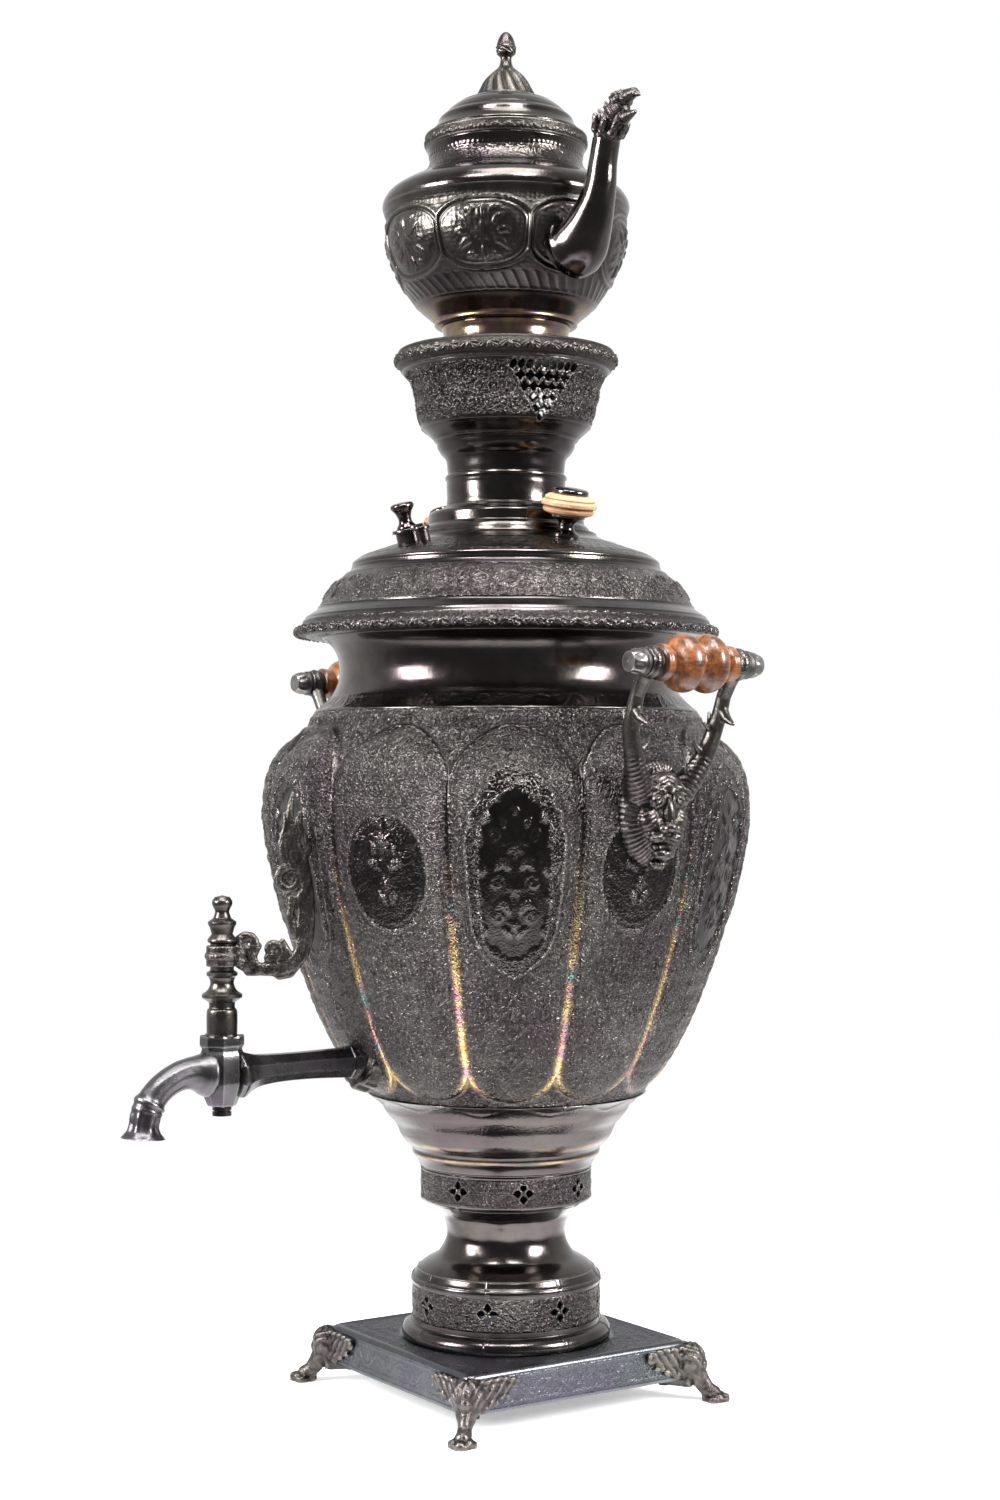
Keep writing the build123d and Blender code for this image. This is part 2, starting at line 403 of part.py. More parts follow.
plug = turn([(0, 163.4), (4.9 + 3.4 / 39.0 * 1.4, 163.4), (4.9 + 37.2 / 39.0 * 1.4, 197.2), (4.9 + 37.2 / 39.0 * 1.4, 197.4), (0, 197.4)])
spindle = turn([(0, 197.4)] + SPINDLE)
key = plug + spindle
key = Pos(0, -TAP_R, 0) * (key - rod_x(3.4, -12, 12, 0, TAP_Z) - rod(1.8, 160, 170))
nodes["tap_key"] = key
nodes["tap_rivet"] = Pos(0, -TAP_R, 0) * (rod(4.7, 158.2, 162.8) - rod(6, 160.2, 161.0) + rod(3.9, 160.0, 161.2) + rod(1.8, 162.0, 170.0))

# scroll lever: flat openwork casting in the plane through the spindle, s outward from it
LEVER_T = 5.0


def plate(points, t=LEVER_T):
    """Flat casting in the XZ plane, its middle at y = 0."""
    return extrude(Plane.XZ * make_face(Polyline(*points, close=True)), t / 2, both=True)


def ring_xz(x, z, r_out, r_in, t=LEVER_T):
    return rod_y(r_out, -t / 2, t / 2, x, z) - rod_y(r_in, -t, t, x, z)


lever = rod(8.0, 231.0, 241.5)
lever += plate([(5.0, 233.0), (5.0, 240.5), (10.0, 243.0), (17.0, 239.0), (26.0, 237.0), (34.0, 240.5), (38.0, 249.0),
                (37.6, 262.0), (40.6, 270.0), (38.0, 284.0), (33.0, 292.0), (30.5, 303.0), (33.5, 317.0), (38.0, 305.0),
                (40.6, 292.0), (43.6, 276.0), (44.0, 258.0), (43.0, 245.0), (38.6, 234.0), (34.0, 227.0), (20.0, 227.0), (10.0, 230.0)])
lever += ring_xz(13.6, 243.6, 6.4, 2.0)
lever += ring_xz(24.6, 243.0, 4.0, 1.4)
lever += ring_xz(33.8, 274.4, 8.6, 4.0)
lever += plate([(6.5, 236.0), (12.0, 246.0), (22.0, 240.0), (30.0, 243.0), (36.0, 256.0), (33.0, 268.0), (40.0, 282.0), (44.0, 262.0), (36.0, 232.0)])
lever -= rod(5.82, 225.0, 250.0)
lever -= rod_y(4.0, -5, 5, 33.8, 274.4)
lever_place = Pos(0, -TAP_R, 0) * Rot(0, 0, 90 - LEVER_AZ)
nodes["tap_lever"] = lever_place * lever

# ---------------------------------------------------------------- carrying handles
def box_section(x, y, z, w, h, lean):
    return (Pos(x, y, z) * Rot(0, lean, 0)) * Rectangle(w, h)


def arm(sy):
    sections = [box_section(134.0, 13.0 * sy, 314.0, 16, 9, 0), box_section(139.5, 18.0 * sy, 327.0, 13, 8, 12),
                box_section(142.0, 23.4 * sy, 339.0, 11, 6.5, 6), box_section(143.5, 26.2 * sy, 352.0, 9.5, 6, 6),
                box_section(147.0, 26.2 * sy, 364.0, 8.5, 6, 24), box_section(156.0, 26.2 * sy, 374.0, 8.5, 6, 52)]
    return loft(sections, ruled=True)


mask_outline = Polyline((-20, 318), (-18, 330), (-10, 333), (0, 331), (10, 333), (18, 330), (20, 318), (19.5, 304), (15, 292),
                        (8, 284), (0, 281), (-8, 284), (-15, 292), (-19.5, 304), close=True)
mask = Pos(119, 0, 0) * extrude(Plane.YZ * make_face(mask_outline), 16)
face_outline = Polyline((-13, 316), (-10, 324), (0, 326), (10, 324), (13, 316), (12, 302), (8, 291), (0, 286), (-8, 291), (-12, 302), close=True)
mask += Pos(134, 0, 0) * extrude(Plane.YZ * make_face(face_outline), 5)
mask += Pos(138.5, 0, 304) * Box(6, 8, 14)
bracket = mask + arm(1) + arm(-1)
for sy in (1, -1):
    eye = rod_y(7.6, min(22.6 * sy, 30.0 * sy), max(22.6 * sy, 30.0 * sy), GRIP_R, GRIP_Z)
    bracket += eye
    hook = Pos(0, 26.2 * sy, 0) * plate([(146, 361), (151, 357), (155.4, 352.4), (152.0, 350.6), (147.0, 352.6), (141, 351), (141, 360)], 6.0)
    bracket += hook
bracket -= rod_y(ROD_R, -60, 60, GRIP_R, GRIP_Z)
bracket -= body_envelope

GRIP = [(8.2, -22.3), (8.9, -21.0), (8.6, -18.0), (6.8, -15.6), (8.6, -14.4), (12.6, -11.8), (14.2, -8.0), (13.6, -4.4), (10.4, -1.2), (9.6, 0.0),
        (10.4, 1.2), (13.6, 4.4), (14.2, 8.0), (12.6, 11.8), (8.6, 14.4), (6.8, 15.6), (8.6, 18.0), (8.9, 21.0), (8.2, 22.3)]
grip = turn([(ROD_R + GRIP_CLEAR, -22.3)] + GRIP + [(ROD_R + GRIP_CLEAR, 22.3)])
grip = Pos(GRIP_R, 0, GRIP_Z) * Rot(90, 0, 0) * grip
end_cap = turn([(0, 35.6), (ROD_R, 35.6), (ROD_R, 30.0), (6.6, 30.0), (6.9, 31.4), (6.4, 32.6), (6.1, 35.0), (5.5, 37.4), (4.8, 39.2), (0, 39.6)])
caps = [Pos(GRIP_R, 0, GRIP_Z) * Rot(90 * s, 0, 0) * end_cap for s in (1, -1)]
handle_rod = rod_y(ROD_R, -35.6, 35.6, GRIP_R, GRIP_Z)
bracket_rivet = Pos(0, 0, 0) * (rod_x(2.0, 124.0, 133.0, 0, 322.0))
for side_name, a in (("right", 0), ("left", 180)):
    place = Rot(0, 0, a)
    nodes[f"handle_bracket_{side_name}"] = place * bracket
    nodes[f"handle_rod_{side_name}"] = place * handle_rod
    nodes[f"handle_grip_{side_name}"] = place * grip
    nodes[f"handle_end_caps_{side_name}"] = Compound(children=[(place * c).solids()[0] for c in caps])

# ---------------------------------------------------------------- export
os.makedirs("parts", exist_ok=True)
for name, shape in nodes.items():
    solids = shape.solids()
    shape = solids[0] if len(solids) == 1 else Compound(children=list(solids))
    shape.label = name
    export_step(shape, os.path.join("parts", name + ".step"))
    print(name, len(solids), round(sum(s.volume for s in solids)))
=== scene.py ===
import json
import math

import bmesh
import bpy
import numpy as np
from mathutils import Matrix, Vector


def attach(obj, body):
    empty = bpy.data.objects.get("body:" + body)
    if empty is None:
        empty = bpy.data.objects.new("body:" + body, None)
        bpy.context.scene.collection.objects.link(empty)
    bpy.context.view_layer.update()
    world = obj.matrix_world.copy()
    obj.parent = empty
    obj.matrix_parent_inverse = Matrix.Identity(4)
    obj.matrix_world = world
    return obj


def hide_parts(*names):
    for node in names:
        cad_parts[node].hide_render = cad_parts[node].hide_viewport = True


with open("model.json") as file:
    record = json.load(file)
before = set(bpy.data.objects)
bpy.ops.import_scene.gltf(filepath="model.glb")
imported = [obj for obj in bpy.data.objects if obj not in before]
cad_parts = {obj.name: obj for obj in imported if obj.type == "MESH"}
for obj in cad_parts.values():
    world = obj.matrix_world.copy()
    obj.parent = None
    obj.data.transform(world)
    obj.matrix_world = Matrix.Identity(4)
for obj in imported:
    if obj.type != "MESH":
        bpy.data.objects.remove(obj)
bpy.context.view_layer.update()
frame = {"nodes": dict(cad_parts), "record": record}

MM = 0.001
rng = np.random.default_rng(7)

# ------------------------------------------------------------------ camera
CAM_AZ = math.radians(56.0)
CAM_D = 1.272
FOCAL_PX = 2400.0
cam_data = bpy.data.cameras.new("camera")
cam = bpy.data.objects.new("camera", cam_data)
bpy.context.scene.collection.objects.link(cam)
cam_data.sensor_width = 36.0
cam_data.lens = 36.0 * FOCAL_PX / 1500.0
cam.location = (CAM_D * math.sin(CAM_AZ), -CAM_D * math.cos(CAM_AZ), 0.325)
cam.rotation_euler = (math.radians(90.0 + 0.597), 0.0, CAM_AZ + math.radians(0.143))
bpy.context.scene.camera = cam

# ------------------------------------------------------------------ profiles, (r, z) in millimetres
DRUM = [(54.0, 30.5), (55.0, 32.5), (54.6, 35.0), (53.0, 37.0), (50.6, 38.2), (49.6, 40.0), (49.6, 58.6),
        (50.4, 60.0), (50.0, 61.8), (48.4, 63.0), (46.9, 66.0)]
WAIST = [(46.9, 66.0), (42.4, 69.3), (36.8, 72.4), (34.2, 75.6), (32.6, 78.7), (31.5, 82.0), (31.3, 85.0),
         (31.8, 88.2), (32.6, 91.4), (33.8, 94.6), (38.1, 98.0), (42.6, 101.0)]
GALLERY = [(42.6, 101.0), (44.4, 102.2), (44.8, 104.0), (44.8, 118.0), (45.3, 120.0)]
CUP = [(45.3, 120.0), (46.9, 123.3), (49.3, 126.5), (49.8, 129.7), (53.2, 132.9), (55.6, 136.2), (56.9, 139.3),
       (58.5, 142.5), (61.4, 145.7), (64.0, 149.0), (65.8, 152.2), (68.8, 155.4), (73.8, 158.6)]
BODY = [(73.8, 158.6), (79.0, 165.0), (85.0, 173.4), (89.9, 181.0), (93.4, 187.4), (97.0, 194.0), (102.5, 206.5),
        (107.7, 219.2), (112.4, 231.6), (116.6, 244.6), (120.8, 257.2), (123.9, 269.9), (126.6, 282.5),
        (128.6, 295.1), (129.6, 308.0), (129.3, 316.0), (128.2, 323.0), (126.0, 329.7), (122.7, 336.0),
        (118.0, 341.0), (112.6, 346.0), (106.8, 351.4), (101.4, 358.0)]
NECK = [(101.4, 358.0), (97.2, 361.4), (93.8, 364.8), (91.2, 368.6), (89.2, 373.0), (88.2, 378.0), (88.3, 383.0),
        (89.4, 388.0), (92.4, 393.0), (97.5, 397.2)]
RING = [(97.5, 397.2), (104.0, 397.3), (110.4, 397.6), (112.2, 398.8), (112.4, 401.0), (110.8, 403.0), (107.7, 405.5),
        (104.3, 408.7), (100.4, 411.4), (99.0, 413.2), (98.0, 415.1), (96.4, 418.3), (94.3, 421.5), (92.0, 424.6),
        (88.3, 427.9), (84.5, 430.8), (82.2, 432.8), (81.6, 435.0)]
RING_INNER = [(76.3, 435.0), (76.3, 432.8), (80.4, 432.0), (83.6, 429.2), (87.4, 426.2), (90.7, 423.2), (93.0, 420.2),
              (94.9, 417.2), (96.4, 413.8), (97.6, 411.6), (99.4, 409.6), (103.0, 406.8), (106.2, 404.0),
              (108.2, 402.0), (108.4, 400.4), (106.0, 399.4), (100.0, 399.2), (94.9, 399.2), (94.9, 397.2)]
LID = [(81.2, 435.2), (81.4, 436.2), (80.4, 437.6), (74.9, 440.7), (65.6, 443.9), (58.0, 446.6), (50.5, 449.6),
       (48.6, 450.6), (47.8, 452.4), (44.6, 453.4), (43.6, 455.2), (41.6, 457.0), (41.1, 462.2), (39.4, 463.8),
       (34.0, 465.0), (32.4, 466.6)]
LID_INNER = [(29.7, 466.6), (29.7, 464.0), (33.4, 463.2), (37.8, 462.0), (39.4, 460.6), (39.8, 456.4),
             (42.0, 454.0), (43.4, 451.8), (46.0, 450.8), (47.0, 449.4), (50.0, 448.0), (57.4, 445.0),
             (65.0, 442.2), (73.0, 439.4), (74.2, 438.6), (74.2, 428.5), (75.7, 428.5), (75.7, 435.2)]
SLEEVE = [(32.4, 466.6), (31.5, 468.4), (31.5, 480.0), (32.2, 481.2), (32.2, 482.4), (31.6, 483.5)]
CROWN = [(30.6, 483.5), (31.0, 486.0), (31.8, 491.8), (34.4, 495.0), (36.3, 498.2), (37.1, 501.3), (40.3, 504.5),
         (43.7, 507.6), (45.4, 510.8), (47.1, 517.1), (48.2, 523.5), (49.0, 526.6), (49.8, 529.8), (50.8, 533.0),
         (53.0, 536.1), (55.4, 538.4)]
CROWN_RIM = [(55.4, 538.4), (58.2, 540.6), (59.4, 543.0), (59.3, 546.0), (58.2, 548.4), (56.4, 549.2)]
TEA_FOOT = [(33.9, 549.0), (34.1, 551.0), (33.2, 555.5), (33.2, 558.5), (34.2, 561.7)]
TEA_BOWL = [(34.2, 561.7), (38.4, 564.9), (42.1, 568.0), (45.8, 571.1), (48.5, 574.3), (50.8, 577.4), (53.0, 580.5),
            (55.1, 583.7), (56.9, 586.8), (58.3, 590.0), (59.6, 593.1), (60.9, 596.3), (62.1, 599.4), (63.2, 603.0),
            (63.9, 608.0), (64.0, 613.0), (63.7, 618.0), (64.6, 621.6), (65.5, 624.4)]
TEA_SHOULDER = [(65.5, 624.4), (65.5, 626.4), (64.8, 628.6), (63.0, 631.6), (59.8, 634.4), (54.0, 637.7),
                (48.4, 640.2), (45.0, 642.4), (42.4, 645.2), (41.1, 647.8), (40.6, 650.6), (41.1, 653.6), (42.2, 656.6)]
TEA_BAND = [(42.2, 656.6), (43.4, 658.2), (43.5, 661.6), (42.9, 663.4)]
TEA_LID = [(40.6, 663.5), (40.4, 665.2), (38.6, 666.8), (36.6, 669.4), (35.4, 672.4), (33.0, 674.4), (31.2, 676.4),
           (27.6, 679.4), (21.7, 682.6), (17.0, 684.0)]
FINIAL = [(17.0, 684.0), (15.6, 685.9), (13.8, 689.1), (12.2, 692.3), (10.0, 695.4), (6.8, 698.4), (4.4, 700.6),
          (3.4, 702.4), (2.9, 705.0), (3.2, 706.6), (4.9, 708.2), (5.1, 710.6), (4.8, 713.6), (3.6, 717.0),
          (1.8, 719.3), (0.02, 720.0)]
SPINDLE = [(7.5, 197.4), (7.5, 208.6), (6.4, 211.0), (6.4, 213.6), (9.9, 216.0), (9.9, 217.6), (7.2, 219.6),
           (5.8, 222.8), (6.4, 225.6), (7.6, 226.8), (7.6, 228.2), (5.8, 229.4), (5.8, 242.4), (7.1, 243.2),
           (7.1, 244.4), (5.2, 247.0), (6.0, 250.0), (6.9, 251.8), (6.9, 253.2), (4.4, 254.8), (3.5, 257.8),
           (4.0, 259.6), (4.9, 261.4), (4.9, 263.2), (3.6, 265.2), (0.02, 266.0)]


# ------------------------------------------------------------------ small maths
def smooth(x, a, b):
    t = np.clip((x - a) / (b - a), 0, 1)
    return t * t * (3 - 2 * t)


def bump_line(d, w):
    return np.exp(-((d / w) ** 2))


def resample(points, n, corner=38.0):
    """n points along a profile: smooth runs between corners, even arc length."""
    p = np.array(points, float)
    cuts = [0]
    for i in range(1, len(p) - 1):
        a, b = p[i] - p[i - 1], p[i + 1] - p[i]
        ang = math.degrees(math.acos(np.clip(a @ b / np.linalg.norm(a) / np.linalg.norm(b), -1, 1)))
        if ang > corner:
            cuts.append(i)
    cuts.append(len(p) - 1)
    dense = []
    for a, b in zip(cuts, cuts[1:]):
        run = p[a:b + 1]
        if len(run) == 2:
            seg = np.linspace(run[0], run[1], 12)
        else:
            ext = np.vstack([2 * run[0] - run[1], run, 2 * run[-1] - run[-2]])
            seg = []
            for i in range(1, len(ext) - 2):
                p0, p1, p2, p3 = ext[i - 1:i + 3]
                t = np.linspace(0, 1, 12, endpoint=False)[:, None]
                seg.append(0.5 * (2 * p1 + (p2 - p0) * t + (2 * p0 - 5 * p1 + 4 * p2 - p3) * t ** 2 + (3 * p1 - p0 - 3 * p2 + p3) * t ** 3))
            seg = np.vstack(seg + [run[-1:]])
        dense.append(seg if not dense else seg[1:])
    d = np.vstack(dense)
    s = np.r_[0, np.cumsum(np.linalg.norm(np.diff(d, axis=0), axis=1))]
    at = np.linspace(0, s[-1], n)
    out = np.c_[np.interp(at, s, d[:, 0]), np.interp(at, s, d[:, 1])]
    corner_s = [s[min(len(s) - 1, int(np.argmin(np.linalg.norm(d - p[c], axis=1))))] for c in cuts[1:-1]]
    for cs, c in zip(corner_s, cuts[1:-1]):
        out[int(np.argmin(np.abs(at - cs)))] = p[c]
    return out


def put(name, verts, faces, attr=None, body="stand", material=None, replaces=(), slot=None, sharp=40.0, merge=True):
    """A mesh object from millimetre vertices, riding on a body."""
    verts = np.asarray(verts, float).reshape(-1, 3) * MM
    faces = np.asarray(faces, int)
    mesh = bpy.data.meshes.new(name)
    mesh.vertices.add(len(verts))
    mesh.vertices.foreach_set("co", verts.ravel().astype(np.float32))
    k = faces.shape[1]
    mesh.loops.add(faces.size)
    mesh.loops.foreach_set("vertex_index", faces.ravel().astype(np.int32))
    mesh.polygons.add(len(faces))
    mesh.polygons.foreach_set("loop_start", (np.arange(len(faces)) * k).astype(np.int32))
    mesh.polygons.foreach_set("use_smooth", np.ones(len(faces), bool))
    mesh.update(calc_edges=True)
    if attr is not None:
        a = mesh.color_attributes.new("fx", "FLOAT_COLOR", "POINT")
        a.data.foreach_set("color", np.asarray(attr, np.float32).reshape(-1, 4).ravel())
    if merge:
        bm = bmesh.new()
        bm.from_mesh(mesh)
        bmesh.ops.remove_doubles(bm, verts=bm.verts, dist=2e-6)
        loose = [v for v in bm.verts if not v.link_faces]
        bmesh.ops.delete(bm, geom=loose, context="VERTS")
        bm.to_mesh(mesh)
        bm.free()
    mesh.validate()
    if sharp:
        mesh.set_sharp_from_angle(angle=math.radians(sharp))
    ob = bpy.data.objects.new(name, mesh)
    bpy.context.scene.collection.objects.link(ob)
    if material:
        mesh.materials.append(material)
    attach(ob, body)
    if replaces:
        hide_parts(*replaces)
    return ob


def grid_faces(nv, nu, close_u=True, close_v=False):
    i = np.arange(nv if close_v else nv - 1)[:, None]
    j = np.arange(nu if close_u else nu - 1)[None, :]
    i2, j2 = (i + 1) % nv, (j + 1) % nu
    return np.stack([i * nu + j, i * nu + j2, i2 * nu + j2, i2 * nu + j], -1).reshape(-1, 4)


def lathe(name, outer, n_outer, nu, inner=None, n_inner=10, relief=None, transform=None, attr=None, close=True,
          keep=None, warp=None, solid=None, **kw):
    """Turned piece. outer runs bottom to top, inner runs back down. relief(az, s, z, r) gives mm along the normal
    and, as a second value, the fx attribute."""
    o = resample(outer, n_outer)
    t = np.gradient(o, axis=0)
    t /= np.maximum(np.linalg.norm(t, axis=1, keepdims=True), 1e-9)
    normal = np.c_[t[:, 1], -t[:, 0]]
    az = np.arange(nu) / nu * 360.0
    s = np.r_[0, np.cumsum(np.linalg.norm(np.diff(o, axis=0), axis=1))]
    A, S = np.meshgrid(az, s)
    R0, Z0 = np.repeat(o[:, :1], nu, 1), np.repeat(o[:, 1:], nu, 1)
    fx = np.zeros((len(o), nu, 4))
    fx[..., 3] = 1
    H = np.zeros_like(A)
    if relief:
        H, f = relief(A, S, Z0, R0)
        fx[..., :3] = np.stack([np.broadcast_to(c, A.shape) for c in f], -1)
    R, Z = R0 + H * normal[:, :1], Z0 + H * normal[:, 1:]
    if warp:
        A, R, Z = warp(A, R, Z)
    rows = [(A, R, Z, fx)]
    if inner is not None:
        i = resample(inner, n_inner)
        Ai = np.repeat(az[None], len(i), 0)
        fi = np.zeros((len(i), nu, 4))
        rows.append((Ai, np.repeat(i[:, :1], nu, 1), np.repeat(i[:, 1:], nu, 1), fi))
    A, R, Z = (np.vstack([r[k] for r in rows]) for k in range(3))
    fx = np.concatenate([r[3] for r in rows])
    a = np.radians(A)
    V = np.stack([R * np.sin(a), -R * np.cos(a), Z], -1)
    faces = grid_faces(len(V), nu, True, inner is not None)
    if keep is not None:
        faces = faces[keep(A, R, Z, faces)]
    if transform is not None:
        m = np.array(transform)
        V = V @ m[:3, :3].T + m[:3, 3]
    return put(name, V, faces, fx, **kw)


def inward(points, t):
    """Inner profile, running back down."""
    p = np.array(points, float)
    d = np.gradient(p, axis=0)
    d /= np.linalg.norm(d, axis=1, keepdims=True)
    q = p + t * np.c_[-d[:, 1], d[:, 0]]
    q[0, 1], q[-1, 1] = p[0, 1], p[-1, 1]
    q[0, 0] = min(q[0, 0], p[0, 0] - t)
    q[-1, 0] = min(q[-1, 0], p[-1, 0] - t)
    return [tuple(v) for v in q[::-1]]


def place(x=0.0, y=0.0, z=0.0, rx=0.0, ry=0.0, rz=0.0):
    m = Matrix.Translation((x, y, z))
    return m @ Matrix.Rotation(math.radians(rz), 4, "Z") @ Matrix.Rotation(math.radians(ry), 4, "Y") @ Matrix.Rotation(math.radians(rx), 4, "X")


# ------------------------------------------------------------------ materials
def math_node(nt, op, a, b=None, clamp=False):
    n = nt.nodes.new("ShaderNodeMath")
    n.operation = op
    n.use_clamp = clamp
    for i, v in enumerate((a, b)):
        if v is None:
            continue
        if isinstance(v, (int, float)):
            n.inputs[i].default_value = v
        else:
            nt.links.new(v, n.inputs[i])
    return n.outputs[0]


def mix_col(nt, fac, a, b):
    n = nt.nodes.new("ShaderNodeMix")
    n.data_type = "RGBA"
    for sock, v in ((n.inputs[0], fac), (n.inputs[6], a), (n.inputs[7], b)):
        if isinstance(v, (int, float)):
            sock.default_value = v
        elif isinstance(v, tuple):
            sock.default_value = (*v, 1.0)
        else:
            nt.links.new(v, sock)
    return n.outputs[2]


def ramp(nt, fac, stops):
    n = nt.nodes.new("ShaderNodeValToRGB")
    while len(n.color_ramp.elements) < len(stops):
        n.color_ramp.elements.new(0.5)
    for e, (pos, col) in zip(n.color_ramp.elements, stops):
        e.position = pos
        e.color = (*col, 1.0) if isinstance(col, tuple) else (col, col, col, 1.0)
    nt.links.new(fac, n.inputs[0])
    return n.outputs[0]


def noise(nt, vec, scale, detail=4.0, rough=0.55, distortion=0.0):
    n = nt.nodes.new("ShaderNodeTexNoise")
    n.inputs["Scale"].default_value = scale
    n.inputs["Detail"].default_value = detail
    n.inputs["Roughness"].default_value = rough
    n.inputs["Distortion"].default_value = distortion
    nt.links.new(vec, n.inputs["Vector"])
    return n.outputs[0]


def voronoi(nt, vec, scale, feature="F1", random=1.0):
    n = nt.nodes.new("ShaderNodeTexVoronoi")
    n.feature = feature
    n.inputs["Scale"].default_value = scale
    n.inputs["Randomness"].default_value = random
    nt.links.new(vec, n.inputs["Vector"])
    return n.outputs[0]


def silver(name, dark, light, rough=0.3, chase=0.0, grain=0.0, wear=0.5, dirt=0.4, cell=620.0, punched=False, warm=0.0):
    """Tarnished silver. chase is the bump of the engraved ground where fx red is 1, grain a fine all-over hammer."""
    mat = bpy.data.materials.new(name)
    mat.use_nodes = True
    nt = mat.node_tree
    bsdf = nt.nodes["Principled BSDF"]
    bsdf.inputs["Metallic"].default_value = 1.0
    tc = nt.nodes.new("ShaderNodeTexCoord").outputs["Object"]
    at = nt.nodes.new("ShaderNodeAttribute")
    at.attribute_name = "fx"
    sep = nt.nodes.new("ShaderNodeSeparateColor")
    nt.links.new(at.outputs["Color"], sep.inputs[0])
    stip, cav, tarnish_hue_and_painted_reflection = sep.outputs[0], sep.outputs[1], sep.outputs[2]
    geo = nt.nodes.new("ShaderNodeNewGeometry")
    point = geo.outputs["Pointiness"]
    big = noise(nt, tc, 14.0, 5.0, 0.6, 0.4)
    mid = noise(nt, tc, 90.0, 5.0, 0.65)
    fine = noise(nt, tc, 900.0, 3.0, 0.6)
    blot = math_node(nt, "ADD", math_node(nt, "MULTIPLY", big, 0.6), math_node(nt, "MULTIPLY", mid, 0.4))
    tone = ramp(nt, blot, [(0.36, dark), (0.50, tuple(0.55 * d + 0.45 * l for d, l in zip(dark, light))), (0.66, light)])
    purple = tuple(v * k for v, k in zip(dark, (1.25, 0.98, 1.3)))
    tone = mix_col(nt, math_node(nt, "MULTIPLY", ramp(nt, noise(nt, tc, 22.0, 2.0), [(0.45, 0.0), (0.62, 1.0)]), 0.55), tone, purple)
    # worn bright edges and dark hollows; the cav channel also brings painted shade into the body's recessed panels
    edge = ramp(nt, point, [(0.50, 0.0), (0.58, 1.0)])
    tone = mix_col(nt, math_node(nt, "MULTIPLY", edge, wear), tone, tuple(min(1.0, v * 2.6 + 0.04) for v in light))
    hollow = ramp(nt, point, [(0.43, 1.0), (0.50, 0.0)])
    sunk = math_node(nt, "MAXIMUM", math_node(nt, "MULTIPLY", hollow, dirt), math_node(nt, "MULTIPLY", cav, 0.75))
    tone = mix_col(nt, sunk, tone, tuple(v * 0.32 for v in dark))
    # heat and tarnish colours in the grooves; through the same channel the hue also paints the golden reflection on the
    # teapot's underside and foot ring
    hue = ramp(nt, noise(nt, tc, 60.0, 3.0, 0.6, 0.8), [(0.30, (0.62, 0.36, 0.12)), (0.45, (0.80, 0.62, 0.30)), (0.56, (0.62, 0.30, 0.32)), (0.66, (0.20, 0.42, 0.40)), (0.8, (0.72, 0.62, 0.42))])
    tone = mix_col(nt, math_node(nt, "MULTIPLY", tarnish_hue_and_painted_reflection, 0.85), tone, hue)
    nt.links.new(tone, bsdf.inputs["Base Color"])
    # engraved ground
    cells = voronoi(nt, tc, cell, "F1", 0.35 if punched else 1.0)
    cut = voronoi(nt, tc, cell * 0.42, "DISTANCE_TO_EDGE", 1.0)
    leafy = math_node(nt, "SINE", math_node(nt, "MULTIPLY", noise(nt, tc, cell * 0.16, 2.0, 0.5, 1.6), 26.0))
    h = math_node(nt, "MULTIPLY", cells, 0.9)
    if not punched:
        h = math_node(nt, "ADD", h, math_node(nt, "MULTIPLY", leafy, 0.35))
        h = math_node(nt, "ADD", h, math_node(nt, "MULTIPLY", ramp(nt, cut, [(0.02, 0.0), (0.16, 1.0)]), 0.5))
    h = math_node(nt, "MULTIPLY", h, stip)
    h = math_node(nt, "MULTIPLY", h, chase)
    h = math_node(nt, "ADD", h, math_node(nt, "MULTIPLY", fine, 0.10 + grain))
    h = math_node(nt, "ADD", h, math_node(nt, "MULTIPLY", mid, 0.25 + grain))
    b = nt.nodes.new("ShaderNodeBump")
    b.inputs["Strength"].default_value = 1.0
    b.inputs["Distance"].default_value = 0.00042
    nt.links.new(h, b.inputs["Height"])
    nt.links.new(b.outputs[0], bsdf.inputs["Normal"])
    r = math_node(nt, "ADD", math_node(nt, "MULTIPLY", mid, 0.16), rough - 0.08)
    r = math_node(nt, "ADD", r, math_node(nt, "MULTIPLY", stip, 0.10))
    r = math_node(nt, "ADD", r, math_node(nt, "MULTIPLY", sunk, 0.25), clamp=True)
    nt.links.new(r, bsdf.inputs["Roughness"])
    return mat


